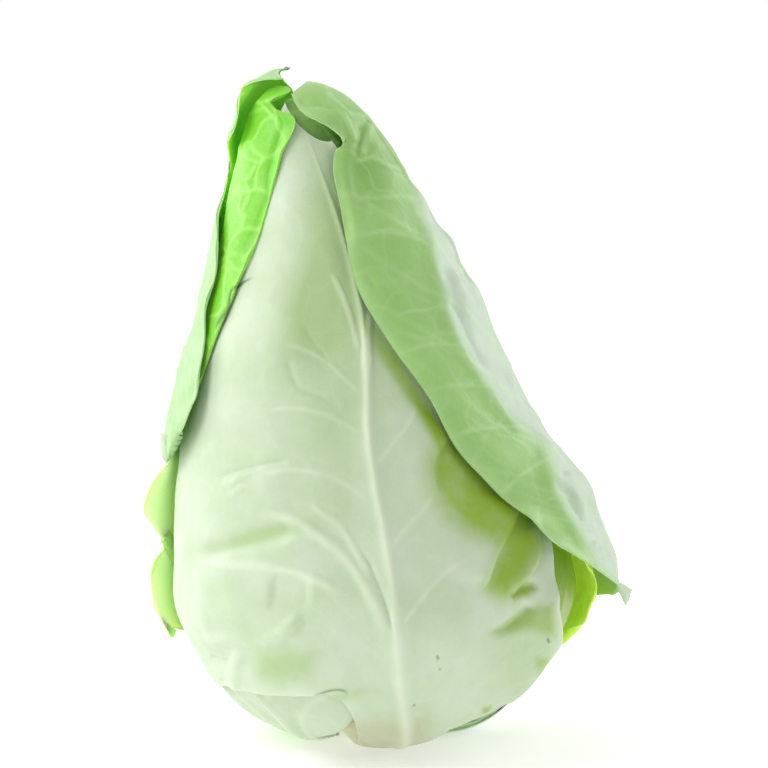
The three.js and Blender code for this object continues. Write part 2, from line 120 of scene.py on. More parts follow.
# Each leaf's left edge, midrib and right edge are rows of v, longitude, latitude and lift, with v from 0
# at the stalk to 1 at the tip. Its trim says how far up the blade's lower edge lies at each u, from -1 at
# the left edge to 1 at the right edge. Its edge waves are how far the left and the right edge wave
# outward, and how many waves there are. Its flare widens the petiole, in degrees. Its grid has columns
# and rows, which crowd toward the stalk.
LEAVES = {
    "under_leaf_right": {
        "left": [[0, 20, 34, 1.4], [0.5, 10, 80, 1.4], [1, 20, 120, 1.4]],
        "rib": [[0, 66, 11, 1.7], [0.2, 64, 30, 1.7], [0.35, 62, 52, 1.9], [0.5, 60, 78, 1.5],
            [1, 50, 125, 1.4]],
        "right": [[0, 114, 32, 1.4], [0.2, 112, 46, 1.4], [0.5, 104, 80, 1.4], [1, 80, 120, 1.4]],
        "trim": [[-1, 0], [-0.3, 0.06], [-0.12, 0.04], [0, 0], [0.12, 0.04], [0.3, 0.06], [1, 0]],
        "edge_waves": [0, 0.4, 5], "rib_height": 0.8, "flare": 12,
        "crowding": 1, "columns": 96, "rows": 96, "seed": 11,
    },
    "under_leaf_left": {
        "left": [[0, -78, 34, 1.3], [0.5, -110, 80, 1.3], [1, -105, 120, 1.3]],
        "rib": [[0, -42, 11, 3.6], [0.1, -42, 20, 5.4], [0.18, -44, 28, 2.4], [0.26, -47, 38, 1.5],
            [0.5, -56, 78, 1.3], [1, -66, 125, 1.3]],
        "right": [[0, -10, 26, 1.3], [0.2, 2, 45, 1.3], [0.5, 0, 80, 1.3], [1, -25, 120, 1.3]],
        "trim": [[-1, 0], [-0.3, 0.06], [-0.12, 0.04], [0, 0], [0.12, 0.04], [0.3, 0.08], [1, 0]],
        "edge_waves": [0, 0, 5], "rib_height": 0.5, "flare": 14,
        "crowding": 1, "columns": 96, "rows": 96, "seed": 12,
    },
    "front_leaf": {
        "left": [[0, -112, 33, 3.4], [0.2, -110, 46, 3.2], [0.4, -106, 66, 3.2], [0.6, -100, 90, 3.4],
            [0.8, -84, 118, 3.4], [1, -20, 164, 3.4]],
        "rib": [[0, 17, 11, 4.6], [0.09, 14, 24, 5], [0.18, 10, 36, 5.4], [0.27, 7, 47, 5],
            [0.36, 5, 58, 4.4], [0.56, 6, 86, 4], [0.78, 13, 115, 3.6], [1, 2, 152, 3.4]],
        "right": [[0, 96, 24, 3.2], [0.05, 86, 33, 3.4], [0.1, 74, 42, 4.2], [0.15, 65, 49, 5.2],
            [0.24, 57, 57, 6.4], [0.4, 56, 66, 6], [0.6, 60, 86, 4.6], [0.8, 55, 112, 4.2],
            [1, 24, 149, 4.2]],
        "trim": [[-1, 0], [-0.8, 0.11], [-0.65, 0.18], [-0.5, 0.21], [-0.35, 0.23], [-0.24, 0.23],
            [-0.18, 0.2], [-0.12, 0.09], [-0.07, 0.01], [0, 0], [0.1, 0.01], [0.3, 0.08], [0.5, 0.12],
            [0.75, 0.07], [1, 0]],
        "edge_waves": [0, 1.2, 7], "rib_height": 2.6, "flare": 24,
        "crowding": 1.1, "columns": 270, "rows": 324, "seed": 13,
    },
    "back_leaf": {
        "left": [[0, 106, 36, 3.6], [0.25, 106, 52, 3.6], [0.5, 110, 84, 3.6], [0.8, 125, 120, 3.6],
            [1, 150, 158, 3.4]],
        "rib": [[0, 186, 11, 4.6], [0.2, 184, 34, 3.6], [0.5, 179, 78, 3.4], [0.8, 178, 120, 3.4],
            [1, 176, 162, 3.4]],
        "right": [[0, 244, 36, 3], [0.25, 244, 52, 3], [0.5, 240, 84, 3.2], [0.8, 228, 120, 3.2],
            [1, 205, 158, 3.2]],
        "trim": [[-1, 0], [-0.45, 0.14], [-0.3, 0.15], [-0.18, 0.1], [-0.08, 0.02], [0, 0], [0.08, 0.02],
            [0.18, 0.1], [0.3, 0.15], [0.45, 0.14], [1, 0]],
        "edge_waves": [0, 0, 7], "rib_height": 1.6, "flare": 14,
        "crowding": 1, "columns": 198, "rows": 216, "seed": 14,
    },
    "left_leaf": {
        "left": [[0, -168, 40, 5.6], [0.3, -170, 58, 5.6], [0.5, -170, 84, 5.4], [0.8, -162, 122, 5.2],
            [1, -110, 166, 5]],
        "rib": [[0, -98, 11, 5.8], [0.08, -102, 20, 7], [0.2, -110, 36, 6.4], [0.5, -116, 78, 5.6],
            [0.8, -100, 122, 5.2], [1, -62, 172, 5]],
        "right": [[0, -92, 49, 6], [0.1, -91, 53, 11], [0.2, -90, 59, 12.6], [0.28, -92, 64, 10.5],
            [0.33, -98, 68, 6.6], [0.4, -88, 73, 14.6], [0.47, -84, 79, 11.4], [0.53, -78, 84, 7.6],
            [0.6, -66, 93, 6], [0.68, -58, 106, 5.2], [0.76, -48, 118, 5], [0.84, -35, 132, 5],
            [0.89, -24, 144, 5], [0.94, -9, 157, 5], [0.96, -30, 160, 5], [0.975, -36, 164, 5],
            [0.985, -6, 168, 5], [1, -12, 172, 5]],
        "trim": [[-1, 0.02], [-0.45, 0.2], [-0.3, 0.2], [-0.18, 0.13], [-0.08, 0.02], [0, 0], [0.08, 0.02],
            [0.18, 0.12], [0.3, 0.2], [0.45, 0.25], [0.6, 0.24], [0.8, 0.19], [0.9, 0.13], [1, 0.03]],
        "edge_waves": [0, 0.6, 9], "rib_height": 1.4, "flare": 14,
        "crowding": 1, "columns": 198, "rows": 300, "seed": 15,
    },
    "right_leaf": {
        "left": [[0, 100, 47, 6.4], [0.12, 92, 51, 7], [0.22, 86, 57, 8], [0.34, 78, 64, 8.2],
            [0.48, 66, 73, 7.2], [0.6, 66, 84, 6.6], [0.75, 74, 104, 5.8], [1, 84, 128, 5.6]],
        "rib": [[0, 148, 11, 5], [0.08, 144, 20, 6.2], [0.2, 134, 36, 6.8], [0.5, 124, 72, 6.4],
            [0.8, 118, 110, 5.8], [1, 112, 132, 5.6]],
        "right": [[0, 178, 42, 6.6], [0.25, 180, 56, 6.4], [0.5, 176, 80, 6.2], [0.8, 162, 112, 6],
            [1, 136, 128, 5.6]],
        "trim": [[-1, 0], [-0.8, 0.15], [-0.45, 0.22], [-0.3, 0.21], [-0.18, 0.12], [-0.08, 0.02], [0, 0],
            [0.08, 0.02], [0.18, 0.12], [0.3, 0.18], [0.45, 0.16], [1, 0.02]],
        "edge_waves": [1.2, 0, 8], "rib_height": 1.5, "flare": 12,
        "crowding": 1, "columns": 192, "rows": 216, "seed": 16,
    },
    "left_outer_leaf": {
        "left": [[0, -172, 46, 8.2], [0.3, -174, 66, 8], [0.6, -178, 100, 7.6], [0.85, -182, 138, 7.4],
            [1, -176, 166, 7.4]],
        "rib": [[0, -136, 11, 7], [0.06, -140, 18, 10.2], [0.12, -144, 28, 11], [0.2, -146, 42, 10.8],
            [0.45, -146, 82, 8.4], [0.8, -132, 130, 7.6], [1, -100, 181, 9.4]],
        "right": [[0, -98, 87, 10.2], [0.1, -80, 88, 10], [0.2, -64, 89, 9.4], [0.32, -57, 95, 8.6],
            [0.45, -60, 104, 7.8], [0.55, -66, 112, 7.4], [0.66, -70, 124, 7.6], [0.71, -84, 129, 8],
            [0.76, -100, 134, 8], [0.81, -102, 141, 9], [0.85, -84, 146, 10], [0.88, -66, 150, 10.4],
            [0.92, -66, 159, 11], [0.945, -80, 165, 11], [0.97, -46, 169, 10.4], [1, -10, 170, 9.4]],
        "trim": [[-1, 0.02], [-0.45, 0.18], [-0.3, 0.19], [-0.18, 0.12], [-0.08, 0.02], [0, 0],
            [0.08, 0.02], [0.18, 0.12], [0.3, 0.2], [0.5, 0.3], [0.65, 0.36], [0.8, 0.34], [0.92, 0.22],
            [1, 0.04]],
        "edge_waves": [0.8, 0.6, 8], "rib_height": 2, "flare": 14,
        "crowding": 1, "columns": 180, "rows": 276, "seed": 17,
    },
    "hood_leaf": {
        "left": [[0, 92, 59, 21], [0.04, 82, 60, 21], [0.09, 68, 63, 19], [0.14, 58, 67, 16.6],
            [0.19, 52, 71, 13.6], [0.25, 47, 76, 10.4], [0.33, 40, 82, 8], [0.4, 35, 87, 7.6],
            [0.5, 28, 99, 7.4], [0.6, 16, 111, 7.4], [0.68, 11, 120, 7.4], [0.76, 12, 131, 7.6],
            [0.82, 13, 140, 8], [0.86, 18, 144, 8.4], [0.9, 26, 147, 8.8], [0.94, 15, 152, 9],
            [0.97, 2, 157, 7.6], [1, -4, 165, 6]],
        "rib": [[0, 106, 11, 6], [0.015, 120, 18, 10], [0.03, 130, 28, 12.4], [0.045, 136, 38, 12.8],
            [0.06, 138, 47, 13], [0.1, 136, 55, 15], [0.17, 128, 60, 16.4], [0.24, 118, 65, 15.8],
            [0.32, 110, 70, 15], [0.4, 102, 78, 14.6], [0.45, 100, 84, 11.8], [0.5, 98, 90, 9.8],
            [0.6, 93, 101, 9.6], [0.7, 88, 116, 8.8], [0.86, 72, 146, 8.6], [0.94, 68, 160, 9.2],
            [1, 66, 173, 6.6]],
        "right": [[0, 196, 51, 12.4], [0.3, 198, 66, 11.4], [0.6, 196, 104, 10.2], [0.85, 184, 142, 10],
            [1, 150, 168, 7]],
        "trim": [[-1, 0], [-0.92, 0.05], [-0.7, 0.075], [-0.45, 0.08], [-0.3, 0.08], [-0.18, 0.05],
            [-0.08, 0.01], [0, 0], [0.08, 0.01], [0.2, 0.05], [0.34, 0.08], [0.5, 0.09], [1, 0.03]],
        "edge_waves": [1, 1.4, 9], "rib_height": 2.4, "flare": 12,
        "crowding": 1.5, "columns": 258, "rows": 336, "seed": 18,
    },
}

# How much of a mark the outer face shows, for the painted glow marks that colour a leaf's inner face
OUTER_SHARE = {"light": 0.3, "lime": 0}

# A line pressed into or raised from a leaf where the picture shows it: its half width and height in
# millimetres and its places in the picture frame, in pixels. A lip stands up on the left of its line,
# and a line is a dark thread, pressed in by its height: the long ones are painted shade along a curled
# edge and under the hem, the short ones the leaf's own specks.
Stroke = namedtuple("Stroke", "kind width height line")
# A soft patch of a colour, or of swelling in millimetres: its middle and half sizes in the picture
# frame, in pixels, its turn in degrees and its amount.
Patch = namedtuple("Patch", "kind x y half_width half_height turn amount")
# A region of colour: how soft its outline is, its amount and its outline in the picture frame, in pixels.
Region = namedtuple("Region", "kind softness amount outline")
LIP_SOFTNESS = 0.7


def strokes(kind, width, height, *lines):
    """Strokes of one kind, width and height."""
    return [Stroke(kind, width, height, line) for line in lines]


# Painted shade: the dark line along the lime leaf's curled edge
CURLED_EDGE_SHADE_LINE = [(254, 277), (246, 280), (238, 285), (230, 291), (228, 298), (225, 308), (218, 320),
               (213, 331)]

FOLDS = {
    "front_leaf": [
        Stroke("vein", 1.6, 0.65, [(389, 640), (381, 618), (368, 592), (353, 568), (336, 549), (315, 533),
            (296, 521), (274, 514), (258, 510)]),
        Stroke("vein", 1.2, 0.35, [(372, 580), (358, 556), (345, 533), (322, 513), (305, 501)]),
        Stroke("vein", 1.4, 0.5, [(352, 600), (341, 594), (324, 584), (310, 578), (296, 572), (270, 568),
            (246, 566), (224, 565), (207, 561), (190, 556)]),
        Stroke("vein", 1.1, 0.5, [(367, 375), (368, 343), (369, 326), (370, 308)]),
        Stroke("vein", 0.8, 0.35, [(361, 356), (355, 334), (350, 315), (342, 292), (330, 270)]),
        *strokes(
            "vein", 0.9, 0.16,
            [(366, 440), (345, 424), (318, 412), (290, 408), (262, 412)],
            [(364, 398), (346, 380), (326, 362), (305, 350), (280, 344)],
            [(371, 505), (348, 486), (322, 474), (292, 470), (262, 476)],
            [(372, 470), (396, 440), (410, 420), (418, 398)],
            [(384, 560), (404, 530), (424, 508), (436, 490)],
            [(398, 630), (420, 600), (444, 574), (470, 556)],
        ),
        Stroke("groove", 3.2, 2.6, [(204, 551), (220, 545), (240, 539), (262, 535), (280, 531),
            (294, 524)]),
        Stroke("groove", 1, 0.7, [(364, 552), (373, 571), (381, 590), (388, 612), (393, 632)]),
        Stroke("groove", 5, 1.8, [(268, 590), (288, 592), (312, 594)]),
        Stroke("ridge", 2.2, 1.5, [(308, 617), (295, 623), (276, 639), (255, 643), (234, 639), (216, 639),
            (202, 633)]),
        Stroke("groove", 0.7, 0.6, [(199, 628), (203, 632), (209, 636), (220, 637)]),
        Stroke("groove", 0.7, 0.6, [(272, 641), (278, 637), (285, 634)]),
        Stroke("groove", 0.9, 0.8, [(208, 657), (214, 659), (221, 662), (229, 663)]),
        Stroke("groove", 0.9, 0.8, [(219, 679), (224, 681), (229, 684), (234, 686)]),
        Stroke("ridge", 2.2, 1.1, [(244, 648), (238, 658), (235, 672), (236, 688), (240, 702)]),
        Stroke("lip", 9, 1.8, [(246, 714), (253, 712), (279, 710), (305, 701), (323, 690), (342, 687),
            (351, 691), (358, 694)]),
        # Painted shadow: the dark line under the hem
        Stroke("line", 0.9, 0, [(300, 704), (312, 698), (323, 691), (334, 688), (342, 688), (351, 692)]),
        Stroke("groove", 0.9, 0.5, [(288, 355), (290, 366), (293, 378), (299, 388), (316, 394),
            (342, 407)]),
        Stroke("groove", 0.8, 0.35, [(303, 326), (312, 340), (320, 350), (331, 366)]),
        Stroke("groove", 1, 0.6, [(214, 478), (226, 474), (246, 469), (266, 464), (292, 460)]),
        Stroke("ridge", 1.2, 0.7, [(222, 482), (232, 484), (240, 478), (254, 472)]),
        Stroke("ridge", 1, 0.5, [(230, 496), (238, 492), (246, 484)]),
        Stroke("lip", 8, 1.3, [(446, 500), (436, 492), (432, 472), (434, 456), (443, 444), (456, 428)]),
        Stroke("lip", 8, 2.4, [(482, 590), (487, 574), (493, 558), (501, 543), (511, 524), (516, 508),
            (520, 494)]),
        Stroke("lip", 6, 1.9, [(512, 604), (515, 594), (524, 580), (535, 565), (540, 548), (538, 530),
            (532, 516)]),
        Stroke("groove", 1.6, 2, [(508, 598), (518, 590), (528, 586), (540, 586)]),
        Stroke("groove", 2, 1.5, [(492, 634), (503, 629), (513, 622), (524, 612), (530, 600)]),
        Stroke("groove", 0.8, 0.5, [(417, 710), (417, 718), (420, 731)]),
        # Painted shade along the lime leaf's curled edge; the short lines after it are the leaf's own specks
        Stroke("line", 0.45, 0.15, CURLED_EDGE_SHADE_LINE),
        Stroke("line", 0.4, 0.1, [(437, 656), (438, 658), (439, 661)]),
        Stroke("line", 0.3, 0.1, [(440, 670), (441, 672)]),
        Stroke("line", 0.3, 0.1, [(413, 700), (414, 703)]),
        Stroke("line", 0.4, 0.1, [(544, 636), (546, 641)]),
    ],
    "hood_leaf": [
        Stroke("vein", 0.7, 0.5, [(326, 90), (337, 104), (346, 113), (352, 118)]),
        Stroke("vein", 0.7, 0.5, [(336, 114), (355, 115), (374, 116), (386, 122)]),
        Stroke("vein", 0.9, 0.7, [(340, 112), (343, 117), (348, 127), (355, 142)]),
        Stroke("vein", 0.9, 0.7, [(374, 118), (372, 124), (365, 141), (361, 158)]),
        Stroke("vein", 0.8, 0.5, [(350, 163), (356, 161), (372, 158), (384, 163), (401, 169), (412, 172)]),
        *strokes(
            "vein", 0.8, 0.35,
            [(358, 198), (380, 198), (402, 196), (420, 200)],
            [(362, 236), (384, 232), (408, 236), (430, 246)],
            [(404, 352), (428, 346), (452, 346), (470, 350)],
            [(424, 392), (452, 386), (480, 386), (504, 392)],
            [(452, 436), (482, 428), (508, 426), (532, 430)],
            [(500, 494), (520, 476), (542, 462), (556, 456)],
        ),
        Stroke("vein", 0.8, 0.4, [(392, 318), (408, 312), (426, 310), (442, 306)]),
        Stroke("ridge", 2.4, 1.2, [(408, 172), (416, 196), (422, 217), (429, 240), (434, 266), (441, 293),
            (446, 318), (458, 346), (476, 374), (498, 402), (518, 424), (540, 444), (547, 461), (552, 490),
            (564, 511), (577, 532), (589, 555), (604, 570)]),
        Stroke("ridge", 2.2, 0.8, [(346, 130), (347, 150), (344, 172), (348, 200), (354, 226), (356, 250),
            (362, 268)]),
        Stroke("groove", 2, 0.7, [(337, 168), (340, 190), (346, 214), (350, 238)]),
        Stroke("groove", 1.2, 0.6, [(366, 276), (372, 281), (376, 290)]),
        Stroke("groove", 1.2, 0.6, [(382, 284), (388, 290), (390, 298)]),
        Stroke("groove", 1.2, 0.8, [(296, 98), (308, 104), (322, 106), (336, 112)]),
        Stroke("groove", 1.6, 0.9, [(356, 122), (362, 134), (358, 150)]),
        Stroke("ridge", 1.4, 0.8, [(562, 462), (556, 474), (562, 480), (572, 474)]),
        Stroke("ridge", 1.4, 0.8, [(570, 492), (578, 506), (588, 528), (600, 548)]),
        Stroke("groove", 1.4, 0.8, [(560, 484), (572, 500), (582, 520), (594, 542)]),
    ],
    "left_leaf": [
        Stroke("groove", 1.6, 1.2, [(286, 120), (278, 140), (271, 160), (267, 180), (268, 195), (260, 212),
            (254, 226), (246, 244), (234, 264)]),
        # Painted shade along this leaf's curled edge
        Stroke("line", 0.45, 0.15, CURLED_EDGE_SHADE_LINE),
        *strokes(
            "vein", 0.6, 0.3,
            [(246, 98), (265, 107), (272, 115), (283, 127)],
            [(246, 118), (257, 111), (267, 107)],
            [(241, 139), (241, 152), (257, 162), (267, 160)],
            [(231, 166), (243, 180), (257, 162)],
            [(243, 180), (248, 192), (241, 212)],
        ),
        Stroke("groove", 1.4, 1.4, [(178, 452), (182, 462), (184, 474)]),
    ],
    "right_leaf": [
        Stroke("ridge", 1.6, 1, [(552, 600), (566, 612), (578, 622)]),
        Stroke("groove", 1.6, 1, [(548, 560), (556, 580), (560, 600), (558, 628)]),
        Stroke("ridge", 1.2, 0.9, [(566, 570), (574, 582), (584, 588)]),
    ],
}

REGIONS = {
    "under_leaf_right": [
        # Painted shade under the hood, over this leaf's greener tone
        Region("olive", 6, 1, [(540, 500), (610, 500), (610, 655), (540, 655)]),
    ],
    "front_leaf": [
        # Painted shade under the hood's margin, beside the pleats and in the pockets, over the blade's
        # greener tone
        Region("olive", 22, 1.3, [(456, 418), (443, 444), (434, 456), (432, 472), (434, 487), (440, 500),
            (452, 515), (470, 530), (492, 540), (506, 530), (516, 508), (545, 510), (510, 450),
            (480, 415)]),
        Region("olive", 14, 1, [(516, 508), (532, 512), (537, 530), (540, 548), (535, 565), (524, 580),
            (516, 591), (514, 600), (500, 600), (484, 588), (487, 574), (493, 558), (501, 543),
            (511, 524)]),
        Region("olive", 7, 0.8, [(493, 634), (505, 628), (520, 612), (535, 606), (551, 605), (551, 633),
            (530, 630), (510, 635)]),
        Region("olive", 5, 0.9, [(514, 597), (520, 586), (535, 582), (537, 590), (528, 597)]),
        Region("olive", 3, 0.9, [(482, 708), (491, 706), (491, 719), (484, 719)]),
        Region("olive", 5, 0.7, [(535, 656), (550, 656), (550, 678), (538, 676)]),
        # Painted shade in the fold above the hem
        Region("green", 12, 0.9, [(262, 652), (290, 646), (315, 652), (312, 672), (285, 678), (258, 674)]),
        Region("brown", 18, 0.6, [(352, 718), (425, 715), (425, 748), (352, 748)]),
    ],
    "left_leaf": [
        # Painted glow of backlight through the lobes
        Region("light", 14, 1, [(186, 455), (186, 660), (130, 660), (130, 455)]),
        # Painted shade along the groove below the tip's rim
        Region("green", 3, 1, [(293, 108), (288, 123), (284, 133), (280, 150), (279, 173), (276, 193),
            (271, 205), (265, 215), (258, 215), (265, 200), (269, 194), (267, 186), (267, 173), (272, 152),
            (280, 133), (284, 118)]),
    ],
    "left_outer_leaf": [
        # The inner face's lime, lightened with painted glow of light through the leaf
        Region("lime", 3, 1, [(196, 390), (215, 250), (225, 170), (226, 120), (238, 84), (262, 76),
            (296, 66), (300, 120), (250, 170), (236, 280), (215, 400)]),
    ],
    "hood_leaf": [
        # The hood's waxy bloom with a painted sheen on its side turned to the right
        Region("silver", 9, 1, [(413, 178), (420, 215), (430, 245), (436, 270), (443, 300), (450, 325),
            (462, 350), (480, 378), (500, 403), (522, 426), (543, 446), (552, 470), (556, 492), (568, 514),
            (582, 536), (602, 568), (650, 610), (670, 520), (610, 380), (560, 250), (480, 150),
            (420, 150)]),
        # Painted shade in the opening under the hood's tip
        Region("green", 6, 0.7, [(305, 120), (316, 118), (333, 124), (326, 140), (312, 146)]),
    ],
}

PATCHES = {
    "front_leaf": [
        Patch("swell", 284, 668, 44, 30, -14, 2.2),
        Patch("swell", 232, 596, 40, 34, 0, 1.2),
        Patch("swell", 250, 500, 42, 22, -14, 1),
        Patch("swell", 262, 350, 36, 46, 20, 1.2),
        Patch("swell", 322, 320, 20, 46, 0, -1),
        Patch("swell", 548, 630, 18, 34, 0, 1.5),
        # Painted shadow along the hood's margin and under the hem
        Patch("olive", 398, 372, 60, 9, 57, 0.8),
        Patch("olive", 432, 430, 34, 8, 57, 0.8),
        Patch("olive", 316, 706, 46, 6, -18, 0.5),
        # Painted shade over the blade's hollows, in the folds and under the hem
        Patch("green", 330, 360, 70, 130, 0, 0.45),
        Patch("green", 318, 312, 34, 52, 20, 0.7),
        Patch("green", 340, 240, 34, 90, 0, 0.9),
        Patch("green", 300, 720, 46, 16, 8, 0.8),
        Patch("green", 254, 537, 52, 10, -14, 1),
        Patch("green", 530, 670, 30, 40, 30, 0.5),
    ],
    "hood_leaf": [
        # Painted shade on the hood's front face
        Patch("green", 372, 158, 44, 44, 0, 0.9),
    ],
    "left_leaf": [
        # Painted shade in the groove at the lobes' corner
        Patch("green", 181, 462, 6, 12, 0, 1),
    ],
}

# How the procedural side veins, the net of fine veins, the crinkles and the curled edge lie on each leaf
Habit = namedtuple("Habit", "side_veins vein_height cell net_height crinkle curl")
HABITS = {
    "under_leaf_right": Habit(5, 0.5, 12, 0.05, 0.1, 0),
    "under_leaf_left": Habit(5, 0.5, 12, 0.05, 0.1, 0),
    "front_leaf": Habit(0, 0.6, 13, 0.04, 0.1, 0.2),
    "back_leaf": Habit(7, 0.8, 13, 0.1, 0.15, 0.2),
    "left_leaf": Habit(5, 0.4, 14, 0.12, 0.12, 0.4),
    "right_leaf": Habit(7, 0.7, 9, 0.15, 0.5, 0.5),
    "left_outer_leaf": Habit(8, 0.7, 11, 0.12, 0.25, 0.4),
    "hood_leaf": Habit(6, 0.25, 15, 0.06, 0.12, 0.35),
}


def smooth(knots, t):
    """Values on the smooth curve through rows of knot and values, at every t."""
    knots = np.asarray(knots, float)
    place, value = knots[:, 0], knots[:, 1:]
    length = np.diff(place)[:, None]
    slope = np.diff(value, axis=0) / length
    tangent = np.concatenate([slope[:1], slope])
    tangent[1:-1] = (slope[:-1] * length[1:] + slope[1:] * length[:-1]) / (length[:-1] + length[1:])
    t = np.asarray(t, float)
    i = np.clip(np.searchsorted(place, t, side="left") - 1, 0, len(place) - 2)
    span = length[i]
    x = np.clip((t - place[i])[..., None] / span, 0, 1)
    return (
        (2 * x**3 - 3 * x**2 + 1) * value[i]
        + (x**3 - 2 * x**2 + x) * span * tangent[i]
        + (3 * x**2 - 2 * x**3) * value[i + 1]
        + (x**3 - x**2) * span * tangent[i + 1]
    )


def ease(low, high, value):
    """0 below low, 1 above high and a smooth rise between them."""
    x = np.clip((value - low) / (high - low), 0, 1)
    return x * x * (3 - 2 * x)


def unit(vectors):
    """The same directions with a length of 1."""
    return vectors / np.maximum(np.linalg.norm(vectors, axis=-1, keepdims=True), 1e-9)


def heart_profile(latitude):
    """The heart's radius and height at a latitude in radians."""
    rise = (1 - np.cos(latitude)) / 2
    tuck = BASE_TUCK * np.exp(-(((rise - TUCK_MIDDLE) / TUCK_REACH) ** 2))
    spread = TIP_SPREAD + BELLY_SPREAD * np.maximum(1 - rise, 0) ** BELLY_POWER - tuck
    return HEART_RADIUS * np.sin(latitude) * spread, HEART_BASE + HEART_HEIGHT * rise**RISE_POWER


def on_head(longitude, latitude, lift):
    """Places on the head in millimetres, from degrees round, degrees up and lift."""
    step = 1e-4
    around, up = np.radians(longitude), np.radians(latitude)
    radius, height = heart_profile(up)
    radius_above, height_above = heart_profile(up + step)
    radius_below, height_below = heart_profile(up - step)
    out = unit(np.stack([height_above - height_below, radius_below - radius_above], -1))
    reach = radius + lift * out[..., 0]
    z = height + lift * out[..., 1]
    lean = smooth(LEAN, z)[..., 0]
    return np.stack([lean + reach * np.sin(around), -reach * np.cos(around), z], -1)


def leaf_place(leaf, u, v):
    """Longitude, latitude and lift of a leaf's inner face at u and v."""
    trim = smooth(leaf["trim"], u)[..., 0]
    along = trim + (1 - trim) * v
    left, rib, right = (smooth(leaf[line], along) for line in ("left", "rib", "right"))
    middle = (left + right) / 2 - rib
    across = rib + (right - left) / 2 * u[..., None] + middle * (u * u)[..., None]
    edge = np.where(u < 0, left[..., 2], right[..., 2])
    left_wave, right_wave, count = leaf["edge_waves"]
    wave = np.where(u < 0, left_wave, right_wave) * (1 + np.sin(2 * np.pi * count * along)) / 2
    lift = rib[..., 2] + (edge - rib[..., 2]) * np.abs(u) ** 3 + wave * np.abs(u) ** 6
    petiole = u / PETIOLE_HALF_WIDTH
    flare = leaf["flare"] * petiole * np.exp(0.5 - 0.5 * petiole**2) * (1 - along) ** 10
    return across[..., 0] + flare, across[..., 1], lift


def in_picture(points):
    """Where points, in millimetres, appear in the picture frame, in pixels."""
    away = points - CAMERA_AIM
    scale = CAMERA_DISTANCE / (CAMERA_DISTANCE - away @ CAMERA_BACK) / PIXEL
    return PICTURE_MIDDLE + away[..., 0] * scale, PICTURE_MIDDLE - (away @ CAMERA_UP) * scale


def facing_camera(normals):
    """1 where a face is turned to the picture's side and 0 where it is turned away."""
    return ease(-0.1, 0.12, normals @ CAMERA_BACK)


def surface_normals(points):
    """The outward direction at each place of a grid."""
    return unit(np.cross(np.gradient(points, axis=1), np.gradient(points, axis=0)))


def neighbours(grid, axis):
    """The values one step before and one step after each place of a grid, with its ends repeated."""
    padded = np.concatenate([grid.take([0], axis), grid, grid.take([-1], axis)], axis)
    count = grid.shape[axis]
    return padded.take(range(count), axis), padded.take(range(2, count + 2), axis)


def blurred(grid, passes):
    """A grid of values, each averaged with its neighbours a few times over."""
    for _ in range(passes):
        for axis in (0, 1):
            before, after = neighbours(grid, axis)
            grid = (before + 2 * grid + after) / 4
    return grid


def lowest_near(grid, steps=3):
    """The lowest value within a few steps of each place."""
    for _ in range(steps):
        for axis in (0, 1):
            before, after = neighbours(grid, axis)
            grid = np.minimum(np.minimum(before, grid), after)
    return grid


def waves(points, length, seed):
    """A smooth random swell with waves of about the given length, from about -1 to 1."""
    rng = np.random.default_rng(seed)
    directions = unit(rng.normal(size=(WAVE_COUNT, 3)))
    turns = 2 * np.pi / (length * rng.uniform(0.75, 1.35, WAVE_COUNT))
    phases = rng.uniform(0, 2 * np.pi, WAVE_COUNT)
    total = np.zeros(points.shape[:-1])
    for direction, turn, phase in zip(directions, turns, phases):
        total += np.sin(points @ direction * turn + phase)
    return total / math.sqrt(WAVE_COUNT)


def from_segment(x, y, start, end):
    """How far places lie from the nearest point of a straight line, and that point's share of it."""
    step = end - start
    share = np.clip(((x - start[0]) * step[0] + (y - start[1]) * step[1]) / (step @ step), 0, 1)
    return x - start[0] - share * step[0], y - start[1] - share * step[1], share


def along_line(line, x, y):
    """How far places in the picture lie from a smooth line, on which side, and how far along it."""
    length = np.concatenate([[0], np.cumsum(np.hypot(*np.diff(line, axis=0).T))])
    steps = max(2, int(length[-1] / 3))
    fine = smooth(np.column_stack([length, line]), np.linspace(0, length[-1], steps + 1))
    distance = np.full(x.shape, np.inf)
    side = np.zeros(x.shape)
    place = np.zeros(x.shape)
    for number, (start, end) in enumerate(zip(fine[:-1], fine[1:])):
        step = end - start
        dx, dy, share = from_segment(x, y, start, end)
        here = np.hypot(dx, dy)
        closer = here < distance
        distance = np.where(closer, here, distance)
        side = np.where(closer, np.sign(step[1] * dx - step[0] * dy), side)
        place = np.where(closer, (number + share) / steps, place)
    return distance, side, place


def pressed_folds(name, x, y, facing):
    """The folds that the picture shows on a leaf: their height, and how much vein and dark line is there."""
    height, vein, dark = np.zeros((3, *x.shape))
    for stroke in FOLDS.get(name, []):
        line = np.asarray(stroke.line, float)
        reach = 4 * stroke.width / PIXEL + 4
        low, high = line.min(0) - reach, line.max(0) + reach
        near = (x > low[0]) & (x < high[0]) & (y > low[1]) & (y < high[1]) & (facing > 0)
        if not near.any():
            continue
        distance, side, place = along_line(line, x[near], y[near])
        distance = distance * PIXEL
        taper = ease(0, 0.16, place) * ease(1, 0.84, place) * facing[near]
        across = np.exp(-((distance / stroke.width) ** 2))
        if stroke.kind == "lip":
            signed = distance * side
            fall = np.exp(-np.maximum(signed, 0) / stroke.width)
            across = ease(-LIP_SOFTNESS, LIP_SOFTNESS, signed) * fall
        sign = -1 if stroke.kind in ("groove", "line") else 1
        height[near] += sign * stroke.height * across * taper
        if stroke.kind == "vein":
            strength = np.exp(-((distance / (0.8 * stroke.width)) ** 2)) * taper
            vein[near] = np.maximum(vein[near], min(1, 0.45 + stroke.height / 2) * strength)
        if stroke.kind == "line":
            dark[near] = np.maximum(dark[near], across * taper)
    return height, vein, dark


